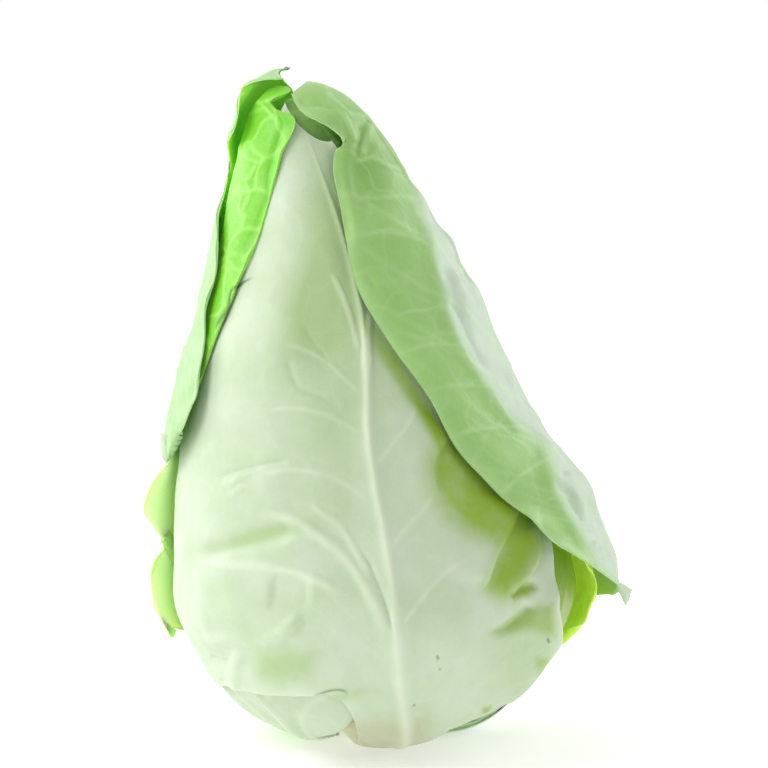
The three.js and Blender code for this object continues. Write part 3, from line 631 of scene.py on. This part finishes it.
def inside_outline(outline, x, y):
    """How far places in the picture lie inside a closed outline, in pixels, and below 0 outside."""
    outline = np.asarray(outline, float)
    inside = np.zeros(x.shape, bool)
    nearest = np.full(x.shape, np.inf)
    for start, end in zip(outline, np.roll(outline, -1, axis=0)):
        dx, dy, _ = from_segment(x, y, start, end)
        nearest = np.minimum(nearest, np.hypot(dx, dy))
        rise = end[1] - start[1]
        if rise:
            crossing = start[0] + (y - start[1]) * (end[0] - start[0]) / rise
            inside ^= ((start[1] > y) != (end[1] > y)) & (x < crossing)
    return np.where(inside, nearest, -nearest)


def painted_patches(name, kind, x, y, facing):
    """The sum of a leaf's soft patches of one kind."""
    total = np.zeros(x.shape)
    for region in REGIONS.get(name, []):
        if region.kind == kind:
            inside = inside_outline(region.outline, x, y)
            total += region.amount * ease(-region.softness, region.softness, inside) * facing
    for patch in PATCHES.get(name, []):
        if patch.kind != kind:
            continue
        turn = math.radians(patch.turn)
        dx, dy = x - patch.x, y - patch.y
        along = (dx * math.cos(turn) + dy * math.sin(turn)) / patch.half_width
        across = (dy * math.cos(turn) - dx * math.sin(turn)) / patch.half_height
        total += patch.amount * np.exp(-(along**2 + across**2) ** 1.5) * facing
    return total


def painted_share(name, kind, x, y, facing):
    """The sum of a leaf's soft patches of one kind, kept from 0 to 1."""
    return np.clip(painted_patches(name, kind, x, y, facing), 0, 1)


def search_tree(points):
    """A tree that finds the points nearest to a place."""
    tree = kdtree.KDTree(len(points))
    for number, point in enumerate(points):
        tree.insert(point, number)
    tree.balance()
    return tree


def side_vein_tree(leaf, habit):
    """A search tree of points along the side veins, and each point's strength."""
    rng = np.random.default_rng(leaf["seed"])
    us, vs, strengths = [], [], []
    steps = np.linspace(0, 1, 60)
    for side in (-1, 1):
        for number in range(habit.side_veins):
            root = FIRST_VEIN + VEINED_SHARE * (number + rng.uniform(-0.2, 0.2)) / habit.side_veins
            rise = rng.uniform(0.24, 0.34) * (1 - root)
            bend = rng.uniform(0.02, 0.05) * np.sin(steps * rng.uniform(4, 7) + rng.uniform(0, 6))
            lines = [(0, root, rise, 1)]
            for fork in FORKS:
                tilt = rng.choice([-1, 1]) * rng.uniform(0.5, 0.9)
                lines.append((fork, root + rise * fork**VEIN_BEND, rise * tilt, FORK_STRENGTH))
            for begin, base, lift, strength in lines:
                share = steps * (VEIN_END - begin)
                us.append(side * (begin + share))
                vs.append(base + lift * share**VEIN_BEND + bend * share * (1 - root))
                strengths.append(strength * (1 - 0.75 * (begin + share)))
    u, v = np.concatenate(us), np.clip(np.concatenate(vs), 0, 1)
    return search_tree(on_head(*leaf_place(leaf, u, v))), np.concatenate(strengths)


def side_veins(leaf, habit, points):
    """How much of each place is side vein, from 0 to 1."""
    if not habit.side_veins:
        return np.zeros(points.shape[:-1])
    tree, strengths = side_vein_tree(leaf, habit)
    found = [tree.find(point)[1:] for point in points.reshape(-1, 3)]
    index = np.array([one[0] for one in found])
    distance = np.array([one[1] for one in found])
    strength = np.maximum(strengths[index], 0.1)
    width = 0.55 + 1.1 * strength
    return (strength * np.exp(-((distance / width) ** 2))).reshape(points.shape[:-1])


def net(leaf, habit, points):
    """The net of fine veins: 1 on its threads, falling to 0 in its cells."""
    seed = leaf["seed"]
    rng = np.random.default_rng(seed + 100)
    flat = points.reshape(-1, 3)
    wander = np.stack([waves(flat, NET_WARP_LENGTH, seed + 200 + axis) for axis in range(3)], -1)
    middles = np.empty((0, 3))
    for point in flat[rng.permutation(len(flat))[:CELL_TRIES]]:
        if not len(middles) or ((middles - point) ** 2).sum(1).min() > (CELL_SPACING * habit.cell) ** 2:
            middles = np.vstack([middles, point])
    tree = search_tree(middles)
    gaps = np.empty(len(flat))
    for number, point in enumerate(flat + THREAD_WANDER * wander):
        (first, _, near), (second, _, far) = tree.find_n(point, 2)
        gaps[number] = (far * far - near * near) / (2 * max((first - second).length, 0.1))
    return np.exp(-((gaps / THREAD_WIDTH) ** 2)).reshape(points.shape[:-1])


def edge_distance(points):
    """How far each place lies from the leaf's nearest edge, its nearest side and its midrib."""
    across = np.linalg.norm(np.diff(points, axis=1), axis=-1)
    along = np.linalg.norm(np.diff(points, axis=0), axis=-1)
    from_left = np.pad(np.cumsum(across, 1), ((0, 0), (1, 0)))
    from_base = np.pad(np.cumsum(along, 0), ((1, 0), (0, 0)))
    middle = points.shape[1] // 2
    from_rib = np.abs(from_left - from_left[:, middle:middle + 1])
    sides = np.minimum(from_left, from_left[:, -1:] - from_left)
    ends = np.minimum(from_base, from_base[-1:] - from_base)
    return np.minimum(sides, ends), sides, from_rib


def leaf_relief(name, base, v, to_side, folds, silver):
    """How far a blade's folds, crinkles, curled edges, silvery bumps and swells move it outward."""
    habit, seed = HABITS[name], LEAVES[name]["seed"]
    grown = ease(0, FOOT, v)
    crinkle = 0.5 - np.abs(waves(base, CRINKLE_LENGTH, seed + 40))
    crinkle += 0.3 * (0.5 - np.abs(waves(base, FINE_CRINKLE_LENGTH, seed + 60)))
    curl = np.exp(-to_side / 9) * (0.6 + 1.1 * waves(base, CURL_LENGTH, seed + 80))
    bumps = np.maximum(waves(base, SILVER_LENGTH, seed + 90), -0.3) * ease(0, 6, to_side)
    relief = folds + (habit.crinkle * crinkle + habit.curl * np.maximum(curl, 0)) * grown
    relief = blurred(relief + SILVER_BUMPS * silver * bumps, 1)
    pressed = -DEEPEST_FOLD * np.tanh(-relief / DEEPEST_FOLD)
    swell = waves(base, SWELL_LENGTH, SWELL_SEED) + 0.4 * waves(base, FINE_SWELL_LENGTH, SWELL_SEED + 1)
    return np.where(relief < 0, pressed, relief) + SWELL_HEIGHT * swell * grown


def leaf_surface(name):
    """A leaf's inner and outer face as grids of places in millimetres, and what its material reads."""
    leaf, habit = LEAVES[name], HABITS[name]
    share = np.linspace(-1, 1, leaf["columns"] + 1)
    up = np.linspace(0, 1, leaf["rows"] + 1) ** leaf["crowding"]
    u, v = np.meshgrid(np.sign(share) * np.abs(share) ** 1.15, up)
    longitude, latitude, lift = leaf_place(leaf, u, v)
    base = on_head(longitude, latitude, lift)
    normal = surface_normals(base)
    x, y = in_picture(base + normal * BLADE_THICKNESS)
    facing = facing_camera(normal)
    to_edge, to_side, from_rib = edge_distance(base)

    folds, vein, dark = pressed_folds(name, x, y, facing)
    folds = folds + painted_patches(name, "swell", x, y, facing)
    silver = painted_share(name, "silver", x, y, facing)
    relief = leaf_relief(name, base, v, to_side, folds, silver)
    moved = base + normal * relief[..., None]
    outward = unit(blurred(surface_normals(moved), 3))

    rib_width = PETIOLE_HALF_WIDTH * (1 - 0.75 * v)
    rib = leaf["rib_height"] * (1 - v) ** 1.5 * np.exp(-((u / rib_width) ** 2))
    crown = np.exp(-((from_rib / (2.2 - 1.3 * v)) ** 2)) * ease(1.02, 0.7, v)
    fine = side_veins(leaf, habit, base)
    threads = net(leaf, habit, base) * (1 - 0.8 * crown)
    blade = BLADE_THICKNESS * (1 - 0.5 * np.exp(-to_edge / 4))
    raised = rib + 0.8 * crown + habit.vein_height * fine + habit.net_height * threads
    inner = base + normal * lowest_near(relief)[..., None]
    outer = moved + outward * (blade + raised)[..., None]
    for face in (inner, outer):
        face[..., 2] = np.maximum(face[..., 2], FLOOR_GAP)

    # The bloom's painted sheen also covers the hood's far side, turned away from the camera
    if silver.any():
        silver = np.clip(silver + (1 - facing) * ease(200, 105, longitude), 0, 1)
    marks = {
        "vein": np.clip(np.maximum.reduce([vein, crown * (1 - 0.35 * v), 0.85 * fine]), 0, 1),
        "net": threads,
        "edge": np.exp(-to_edge / 2.5),
        "dark": dark,
        "silver": silver,
        # Painted glow of light through the leaves, on the lobes and on the outer leaf's inner face
        "light": painted_share(name, "light", x, y, 1),
        "lime": painted_share(name, "lime", x, y, 1 - facing),
    }
    # Olive and green patches are painted shade; brown is the browned base
    for kind in ("olive", "green", "brown"):
        marks[kind] = painted_share(name, kind, x, y, facing)
    return inner, outer, marks


def stitched(fine, coarse, flip):
    """Triangles that join a fine row of points to a coarse one with every third point."""
    faces = []
    for number in range(len(coarse) - 1):
        here, there = coarse[number], coarse[number + 1]
        a, b, c, d = fine[3 * number:3 * number + 4]
        faces += [(here, a, b), (here, b, there), (there, b, c), (there, c, d)]
    return [face[::-1] for face in faces] if flip else faces


def leaf_faces(columns, rows):
    """The outer face has every place of the grid, and the inner face every third."""
    width = columns + 1
    outer = np.arange((rows + 1) * width).reshape(rows + 1, width)
    inner = outer.size + np.arange((rows // 3 + 1) * (columns // 3 + 1)).reshape(rows // 3 + 1, -1)
    quads = [
        np.stack([outer[:-1, :-1], outer[:-1, 1:], outer[1:, 1:], outer[1:, :-1]], -1).reshape(-1, 4),
        np.stack([inner[:-1, :-1], inner[1:, :-1], inner[1:, 1:], inner[:-1, 1:]], -1).reshape(-1, 4),
    ]
    edges = [
        *stitched(outer[0], inner[0], False),
        *stitched(outer[-1], inner[-1], True),
        *stitched(outer[:, 0], inner[:, 0], True),
        *stitched(outer[:, -1], inner[:, -1], False),
    ]
    return np.concatenate(quads), np.array(edges)


def mesh_object(name, points, quads, triangles, marks):
    """A smooth shaded object from places in millimetres, with its marks as point attributes."""
    mesh = bpy.data.meshes.new(name)
    corners = np.concatenate([quads.ravel(), triangles.ravel()]).astype(np.int32)
    starts = np.concatenate([
        np.arange(len(quads)) * 4,
        len(quads) * 4 + np.arange(len(triangles)) * 3,
    ]).astype(np.int32)
    mesh.vertices.add(len(points))
    mesh.vertices.foreach_set("co", (points * MM).astype(np.float32).ravel())
    mesh.loops.add(len(corners))
    mesh.loops.foreach_set("vertex_index", corners)
    mesh.polygons.add(len(starts))
    mesh.polygons.foreach_set("loop_start", starts)
    for mark, values in marks.items():
        attribute = mesh.attributes.new(mark, "FLOAT", "POINT")
        attribute.data.foreach_set("value", values.astype(np.float32).ravel())
    mesh.update(calc_edges=True)
    mesh.validate()
    mesh.polygons.foreach_set("use_smooth", np.ones(len(mesh.polygons), bool))
    made = bpy.data.objects.new(name, mesh)
    bpy.context.scene.collection.objects.link(made)
    return made


def grow_leaf(node, piece_name, material):
    """Grow one leaf in place of its plain solid."""
    inner, outer, marks = leaf_surface(node)
    rows, columns = outer.shape[0] - 1, outer.shape[1] - 1
    points = np.concatenate([outer.reshape(-1, 3), inner[::3, ::3].reshape(-1, 3)])
    values = {
        name: np.concatenate([(mark * OUTER_SHARE.get(name, 1)).ravel(), mark[::3, ::3].ravel()])
        for name, mark in marks.items()
    }
    piece = mesh_object(piece_name, points, *leaf_faces(columns, rows), values)
    piece.data.materials.append(material)
    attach(piece, BODY)
    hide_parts(node)


def heart_points(columns, rows):
    """The stalk's cut face and side, then the folded leaves of the heart winding up to the tip."""
    longitude = np.arange(columns) / columns * 360
    around = np.radians(longitude)
    rings = []
    for radius, z in ((3, 0), (8, 0), (STALK_RADIUS - STALK_CHAMFER, 0), (STALK_RADIUS, STALK_CHAMFER)):
        rings.append(np.stack([radius * np.sin(around), -radius * np.cos(around), 0 * around + z], -1))
    lowest, highest = 9.5, 176
    step_depth, leaves_round, turns_up = 1.2, 3, 2
    for row in range(rows + 1):
        latitude = lowest + (highest - lowest) * row / rows
        fade = math.sin(math.pi * row / rows)
        turn = leaves_round * longitude / 360 + turns_up * latitude / 180
        share = turn - np.floor(turn)
        lap = share * ease(1, 0.97, share)
        rings.append(on_head(longitude, np.full(columns, latitude), -step_depth * fade * lap))
    grid = np.stack(rings)
    swell_height, swell_length, swell_seed = 0.3, 22, 5
    swell = swell_height * waves(grid, swell_length, swell_seed) * ease(12, 40, grid[..., 2])
    grid = grid + surface_normals(grid) * np.minimum(swell, 0)[..., None]
    ends = np.stack([np.zeros(3), on_head(0.0, 180.0, 0.0)])
    return grid, ends


def grow_heart(material):
    """Grow the heart and its stalk in place of their plain solid."""
    columns, rows = 180, 150
    grid, ends = heart_points(columns, rows)
    rings = len(grid)
    index = np.arange(rings * columns).reshape(rings, columns)
    after = np.roll(index, -1, axis=1)
    quads = np.stack([index[:-1], after[:-1], after[1:], index[1:]], -1).reshape(-1, 4)
    base, tip = rings * columns, rings * columns + 1
    triangles = np.concatenate([
        np.stack([np.full(columns, base), after[0], index[0]], -1),
        np.stack([index[-1], after[-1], np.full(columns, tip)], -1),
    ])
    points = np.concatenate([grid.reshape(-1, 3), ends])
    z = points[:, 2]
    marks = {"stalk": ease(17, 11, z), "cut": ease(0.7, 0.2, z)}
    piece = mesh_object("heart_and_stalk", points, quads, triangles, marks)
    piece.data.materials.append(material)
    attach(piece, BODY)
    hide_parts("heart_with_stalk")


# Painted shade under the hood and beside the pleats, over the blades' greener tone
OLIVE_PAINTED_SHADE = (0.26, 0.42, 0.01)
# The hood's waxy bloom with a painted sheen
BLOOM_AND_PAINTED_SHEEN = (0.54, 0.62, 0.54)
# Painted glow of backlight through the lime leaf's lobes
PAINTED_BACKLIGHT_LIME = (0.78, 0.97, 0.52)
# The outer leaf's lime inner face, lightened with painted glow of light through it
LIME_INSIDE_WITH_PAINTED_GLOW = (0.46, 0.84, 0.12)
BASE_TINT = (0.42, 0.38, 0.22)
# Dark lines: painted shade along a curled edge and under the hem, and the leaf's own specks
DARK_LINE = (0.05, 0.13, 0.01)

# Each leaf material's blade and vein colours, how strongly its net and its veins show, how much light it
# lets through and how much painted glow of backlight it gives off as emission
Look = namedtuple("Look", "blade vein net_strength vein_strength through shine")
LOOKS = {
    "under_leaf": Look("pale", "vein", 0.08, 0.5, 0.35, 0),
    "pale_leaf": Look("pale", "vein", 0.05, 0.55, 0.35, 0),
    "lime_leaf": Look("lime", "lime_vein", 0.45, 0.7, 0.9, 0.08),
    "olive_leaf": Look("olive", "olive_vein", 0.3, 0.5, 0.8, 0.3),
    "outer_leaf": Look("outer", "green_vein", 0.3, 0.6, 0.6, 0),
    "hood_leaf": Look("hood", "green_vein", 0.15, 0.5, 0.4, 0),
}


class Shader:
    """A material's node tree, with a short way to add and join nodes."""

    def __init__(self, name):
        self.material = bpy.data.materials.new(name)
        self.material.use_nodes = True
        self.tree = self.material.node_tree

    def add(self, kind, inputs=None, **settings):
        node = self.tree.nodes.new("ShaderNode" + kind)
        for name, value in settings.items():
            setattr(node, name, value)
        for name, value in (inputs or {}).items():
            self.feed(node.inputs[name], value)
        return node

    def feed(self, socket, value):
        if isinstance(value, bpy.types.NodeSocket):
            self.tree.links.new(value, socket)
        else:
            socket.default_value = value

    def finish(self, inputs):
        """Give the surface its inputs and hand over the material."""
        for name, value in inputs.items():
            self.feed(self.tree.nodes["Principled BSDF"].inputs[name], value)
        return self.material

    def mark(self, name):
        return self.add("Attribute", attribute_name=name).outputs["Fac"]

    def mix(self, factor, first, second):
        node = self.add("Mix", data_type="RGBA")
        self.feed(node.inputs[0], factor)
        self.feed(node.inputs[6], first if isinstance(first, bpy.types.NodeSocket) else (*first, 1))
        self.feed(node.inputs[7], second if isinstance(second, bpy.types.NodeSocket) else (*second, 1))
        return node.outputs[2]

    def math(self, operation, first, second):
        node = self.add("Math", operation=operation)
        self.feed(node.inputs[0], first)
        self.feed(node.inputs[1], second)
        return node.outputs[0]

    def times(self, first, second):
        return self.math("MULTIPLY", first, second)

    def spread(self, value, low, high, to_low=0.0, to_high=1.0):
        names = {"Value": value, "From Min": low, "From Max": high, "To Min": to_low, "To Max": to_high}
        return self.add("MapRange", names).outputs["Result"]

    def place(self):
        return self.add("TexCoord").outputs["Object"]

    def noise(self, size, detail, roughness):
        inputs = {"Vector": self.place(), "Scale": 1 / size, "Detail": detail, "Roughness": roughness}
        return self.add("TexNoise", inputs).outputs["Fac"]

    def cells(self, size):
        inputs = {"Vector": self.place(), "Scale": 1 / size}
        return self.add("TexVoronoi", inputs, feature="DISTANCE_TO_EDGE").outputs["Distance"]

    def bump(self, height, distance, strength=1.0):
        node = self.add("Bump", {"Height": height, "Distance": distance, "Strength": strength})
        return node.outputs["Normal"]


def leaf_material(context, name):
    """Waxy leaf: mottled green, paler along its veins and net, with painted shade, sheen and glow where
    patches are marked.
    """
    look, colours, finish = LOOKS[name], context.scene.cabbage_colours, context.scene.cabbage_finish
    deep, vein = getattr(colours, look.blade + "_deep"), getattr(colours, look.vein)
    shader = Shader(name)
    mottle = shader.spread(shader.noise(18 * MM, 4, 0.6), 0.35, 0.65)
    colour = shader.mix(shader.times(mottle, 0.35), getattr(colours, look.blade), deep)
    cells = shader.spread(shader.cells(3.2 * MM), 0.0, 0.12, 1.0, 0.0)
    threads = shader.math("ADD", shader.mark("net"), shader.times(cells, 0.2))
    ragged = shader.spread(shader.noise(9 * MM, 3, 0.6), 0.3, 0.6, 0.75, 0.95)
    # Green and olive marks are painted shade, silver the bloom with a painted sheen, light and lime painted
    # glow of light through the leaf, and the dark lines painted shade except the specks; brown, net, edge
    # and veins are the leaf's own
    layers = [
        (shader.mark("green"), 0.85, deep),
        (shader.mark("silver"), 0.8, BLOOM_AND_PAINTED_SHEEN),
        (shader.mark("brown"), 1, BASE_TINT),
        (threads, look.net_strength, vein),
        (shader.mark("edge"), 0.4, vein),
        (shader.mark("vein"), look.vein_strength, vein),
        (shader.mark("light"), 0.9, PAINTED_BACKLIGHT_LIME),
        (shader.mark("lime"), 1, LIME_INSIDE_WITH_PAINTED_GLOW),
        (shader.mark("olive"), ragged, OLIVE_PAINTED_SHADE),
        (shader.mark("dark"), 0.85, DARK_LINE),
    ]
    for mark, strength, tint in layers:
        colour = shader.mix(shader.times(mark, strength), colour, tint)
    wax = shader.noise(7 * MM, 3, 0.6)
    grain = shader.math("ADD", shader.noise(1.6 * MM, 4, 0.6), shader.times(cells, 0.1))
    return shader.finish({
        "Base Color": colour,
        "Roughness": shader.spread(wax, 0.3, 0.7, finish.roughness - 0.06, finish.roughness + 0.1),
        "Specular IOR Level": 0.45,
        "Normal": shader.bump(grain, 0.16 * MM, 0.6),
        "Subsurface Weight": look.through,
        "Subsurface Radius": (0.8, 1.0, 0.35),
        "Subsurface Scale": finish.light_depth,
        # Painted glow: the blade gives off its colour as emission, standing in for backlight through it
        "Emission Color": colour,
        "Emission Strength": look.shine,
    })


def heart_material(colours):
    """Pale heart leaves over a fibrous stalk with a slightly browned cut."""
    shader = Shader("heart_leaves")
    mottle = shader.spread(shader.noise(12 * MM, 4, 0.6), 0.3, 0.7)
    colour = shader.mix(shader.times(mottle, 0.4), colours.heart, colours.heart_deep)
    colour = shader.mix(shader.mark("stalk"), colour, colours.stalk)
    pith = shader.spread(shader.noise(2.5 * MM, 5, 0.7), 0.35, 0.75)
    colour = shader.mix(shader.times(shader.mark("cut"), shader.times(pith, 0.8)), colour, BASE_TINT)
    return shader.finish({
        "Base Color": colour,
        "Roughness": shader.spread(shader.noise(6 * MM, 3, 0.6), 0.3, 0.7, 0.42, 0.6),
        "Normal": shader.bump(shader.noise(1.5 * MM, 5, 0.65), 0.3 * MM),
        "Subsurface Weight": 0.3,
        "Subsurface Radius": (0.8, 1.0, 0.4),
        "Subsurface Scale": 2 * MM,
    })


def colour_property(name, description, default):
    return bpy.props.FloatVectorProperty(
        name=name, description=description, subtype="COLOR", size=3, min=0, max=1, default=default,
    )


def number_property(name, description, default, **settings):
    return bpy.props.FloatProperty(name=name, description=description, default=default, min=0, **settings)


class LeafColours(bpy.types.PropertyGroup):
    # The deep colours are each blade's random mottle and, where green patches are marked, its painted shade
    pale: colour_property("Pale blade", "Front and back leaves", (0.57, 0.665, 0.50))
    pale_deep: colour_property("Pale blade, deep", "Greener parts of the pale leaves", (0.37, 0.52, 0.23))
    lime: colour_property("Lime blade", "Left leaf", (0.19, 0.54, 0.02))
    lime_deep: colour_property("Lime blade, deep", "Its turned band", (0.16, 0.60, 0.02))
    olive: colour_property("Olive blade", "Right leaf", (0.50, 0.74, 0.03))
    olive_deep: colour_property("Olive blade, deep", "Its hollows", (0.26, 0.46, 0.015))
    hood: colour_property("Hood blade", "Leaf that wraps the right side", (0.33, 0.57, 0.18))
    hood_deep: colour_property("Hood blade, deep", "Its shaded parts", (0.20, 0.42, 0.07))
    outer: colour_property("Outer blade", "Leaf at the far left", (0.37, 0.57, 0.28))
    outer_deep: colour_property("Outer blade, deep", "Its greener parts", (0.20, 0.45, 0.08))
    vein: colour_property("Veins", "Midribs and side veins", (0.74, 0.80, 0.64))
    green_vein: colour_property("Green veins", "Net of the green leaves", (0.52, 0.74, 0.38))
    lime_vein: colour_property("Lime veins", "Net of the lime leaf", (0.42, 0.80, 0.18))
    olive_vein: colour_property("Olive veins", "Net of the olive leaf", (0.62, 0.80, 0.20))
    heart: colour_property("Heart", "Folded inner leaves", (0.46, 0.74, 0.24))
    heart_deep: colour_property("Heart, deep", "Between the inner leaves", (0.24, 0.54, 0.08))
    stalk: colour_property("Stalk", "Stalk's side and cut", (0.74, 0.74, 0.50))


class LeafFinish(bpy.types.PropertyGroup):
    roughness: number_property(
        "Roughness", "Roughness of the waxy leaves", 0.42, subtype="FACTOR", max=1,
    )
    light_depth: number_property(
        "Light depth", "How far light spreads inside a blade", 1.6 * MM, unit="LENGTH",
    )


class StudioLight(bpy.types.PropertyGroup):
    surround: number_property("Surround", "Brightness of the white surround", 1)
    front: number_property("Front surround", "Brightness of the surround before the head", 0.55)
    key: number_property("Key light", "Large soft light at the upper left", 10, unit="POWER")
    rim: number_property("Rim lights", "Soft lights behind both sides", 3, unit="POWER")


class CABBAGE_OT_heart(bpy.types.Operator):
    """Grow the dense heart with its stalk"""

    bl_idname = "cabbage.heart"
    bl_label = "Heart and Stalk"

    def execute(self, context):
        grow_heart(heart_material(context.scene.cabbage_colours))
        return {"FINISHED"}


class CABBAGE_OT_under_leaves(bpy.types.Operator):
    """Grow the two inner leaves whose edges show at the base"""

    bl_idname = "cabbage.under_leaves"
    bl_label = "Under Leaves"

    def execute(self, context):
        material = leaf_material(context, "under_leaf")
        grow_leaf("under_leaf_right", "inner_leaf_right", material)
        grow_leaf("under_leaf_left", "inner_leaf_left", material)
        return {"FINISHED"}


class CABBAGE_OT_pale_leaves(bpy.types.Operator):
    """Grow the pale front leaf and the back leaf"""

    bl_idname = "cabbage.pale_leaves"
    bl_label = "Pale Leaves"

    def execute(self, context):
        material = leaf_material(context, "pale_leaf")
        grow_leaf("front_leaf", "pale_leaf_front", material)
        grow_leaf("back_leaf", "pale_leaf_back", material)
        return {"FINISHED"}


class CABBAGE_OT_lime_leaf(bpy.types.Operator):
    """Grow the lime leaf at the left"""

    bl_idname = "cabbage.lime_leaf"
    bl_label = "Lime Leaf"

    def execute(self, context):
        grow_leaf("left_leaf", "lime_leaf_left", leaf_material(context, "lime_leaf"))
        return {"FINISHED"}


class CABBAGE_OT_olive_leaf(bpy.types.Operator):
    """Grow the olive leaf at the right"""

    bl_idname = "cabbage.olive_leaf"
    bl_label = "Olive Leaf"

    def execute(self, context):
        grow_leaf("right_leaf", "olive_leaf_right", leaf_material(context, "olive_leaf"))
        return {"FINISHED"}


class CABBAGE_OT_outer_leaf(bpy.types.Operator):
    """Grow the outer leaf at the far left, which rims the tip"""

    bl_idname = "cabbage.outer_leaf"
    bl_label = "Left Outer Leaf"

    def execute(self, context):
        material = leaf_material(context, "outer_leaf")
        grow_leaf("left_outer_leaf", "outer_leaf_left", material)
        return {"FINISHED"}


class CABBAGE_OT_hood_leaf(bpy.types.Operator):
    """Grow the green leaf that hoods the tip and the right side"""

    bl_idname = "cabbage.hood_leaf"
    bl_label = "Hood Leaf"

    def execute(self, context):
        grow_leaf("hood_leaf", "green_leaf_hood", leaf_material(context, "hood_leaf"))
        return {"FINISHED"}


def soft_light(name, power, size, place, aim):
    """A round white area light that is turned to its aim."""
    lamp = bpy.data.lights.new(name, "AREA")
    lamp.energy = power
    lamp.shape = "DISK"
    lamp.size = size
    made = bpy.data.objects.new(name, lamp)
    made.location = place
    made.rotation_euler = (Vector(aim) - Vector(place)).to_track_quat("-Z", "Y").to_euler()
    bpy.context.scene.collection.objects.link(made)


class CABBAGE_OT_studio(bpy.types.Operator):
    """Lay the pale floor and set the camera and lights"""

    bl_idname = "cabbage.studio"
    bl_label = "Studio"

    def execute(self, context):
        scene, light = context.scene, context.scene.cabbage_light
        aim = Vector(CAMERA_AIM) * MM
        scene.view_settings.view_transform = "Standard"
        self.lay_floor()
        self.light_surround(scene, light)
        soft_light("key_light", light.key, 0.9, (-1.1, -0.4, 0.95), aim)
        soft_light("left_rim_light", light.rim, 0.7, (-0.9, 0.55, 0.5), aim)
        soft_light("right_rim_light", light.rim, 0.7, (0.9, 0.6, 0.55), aim)
        self.set_camera(scene, aim)
        return {"FINISHED"}

    def light_surround(self, scene, light):
        """A white surround that is dimmer before the head than behind it."""
        world = bpy.data.worlds.new("surround")
        world.use_nodes = True
        nodes, links = world.node_tree.nodes, world.node_tree.links
        direction = nodes.new("ShaderNodeTexCoord").outputs["Generated"]
        split = nodes.new("ShaderNodeSeparateXYZ")
        fade = nodes.new("ShaderNodeMapRange")
        background = nodes["Background"]
        background.inputs["Color"].default_value = (1, 1, 1, 1)
        links.new(direction, split.inputs[0])
        links.new(split.outputs["Y"], fade.inputs["Value"])
        limits = {"From Min": -0.7, "From Max": 0.3, "To Min": light.front, "To Max": light.surround}
        for socket, value in limits.items():
            fade.inputs[socket].default_value = value
        links.new(fade.outputs["Result"], background.inputs["Strength"])
        scene.world = world

    def lay_floor(self):
        """A wide pale disc that glows a little, so that it stays as white as the surround."""
        bpy.ops.mesh.primitive_circle_add(vertices=96, radius=3, fill_type="NGON")
        floor = bpy.context.active_object
        floor.name = "floor"
        shader = Shader("pale_floor")
        tint = shader.mix(shader.noise(0.4, 2, 0.5), (0.78, 0.78, 0.78), (0.82, 0.82, 0.82))
        floor.data.materials.append(shader.finish({
            "Base Color": tint,
            "Roughness": 0.8,
            "Emission Color": (1, 1, 1, 1),
            "Emission Strength": 0.4,
        }))

    def set_camera(self, scene, aim):
        """The camera at the picture's side, with the picture's frame."""
        data = bpy.data.cameras.new("camera")
        data.sensor_width = SENSOR_WIDTH
        data.lens = SENSOR_WIDTH / 2 * CAMERA_DISTANCE / (PICTURE_MIDDLE * PIXEL)
        camera = bpy.data.objects.new("camera", data)
        back = Vector(CAMERA_BACK)
        camera.location = aim + back * CAMERA_DISTANCE * MM
        camera.rotation_euler = (-back).to_track_quat("-Z", "Y").to_euler()
        scene.collection.objects.link(camera)
        scene.camera = camera


OPERATORS = (
    CABBAGE_OT_studio,
    CABBAGE_OT_heart,
    CABBAGE_OT_under_leaves,
    CABBAGE_OT_pale_leaves,
    CABBAGE_OT_lime_leaf,
    CABBAGE_OT_olive_leaf,
    CABBAGE_OT_outer_leaf,
    CABBAGE_OT_hood_leaf,
)
GROUPS = {"cabbage_colours": LeafColours, "cabbage_finish": LeafFinish, "cabbage_light": StudioLight}


class CABBAGE_PT_panel(bpy.types.Panel):
    """Lists the steps that grow the head"""

    bl_label = "Pointed Cabbage Head"
    bl_idname = "CABBAGE_PT_panel"
    bl_space_type = "VIEW_3D"
    bl_region_type = "UI"
    bl_category = "Cabbage"

    def draw(self, context):
        for group in GROUPS:
            settings = getattr(context.scene, group)
            for name in settings.__annotations__:
                self.layout.prop(settings, name)
        for operator in OPERATORS:
            self.layout.operator(operator.bl_idname)


def register():
    for name, group in GROUPS.items():
        bpy.utils.register_class(group)
        setattr(bpy.types.Scene, name, bpy.props.PointerProperty(type=group))
    for operator in OPERATORS:
        bpy.utils.register_class(operator)
    bpy.utils.register_class(CABBAGE_PT_panel)


def unregister():
    bpy.utils.unregister_class(CABBAGE_PT_panel)
    for operator in reversed(OPERATORS):
        bpy.utils.unregister_class(operator)
    for name, group in GROUPS.items():
        delattr(bpy.types.Scene, name)
        bpy.utils.unregister_class(group)


def main():
    register()
    bpy.ops.cabbage.studio()
    bpy.ops.cabbage.heart()
    bpy.ops.cabbage.under_leaves()
    bpy.ops.cabbage.pale_leaves()
    bpy.ops.cabbage.lime_leaf()
    bpy.ops.cabbage.olive_leaf()
    bpy.ops.cabbage.outer_leaf()
    bpy.ops.cabbage.hood_leaf()


if __name__ == "__main__":
    main()
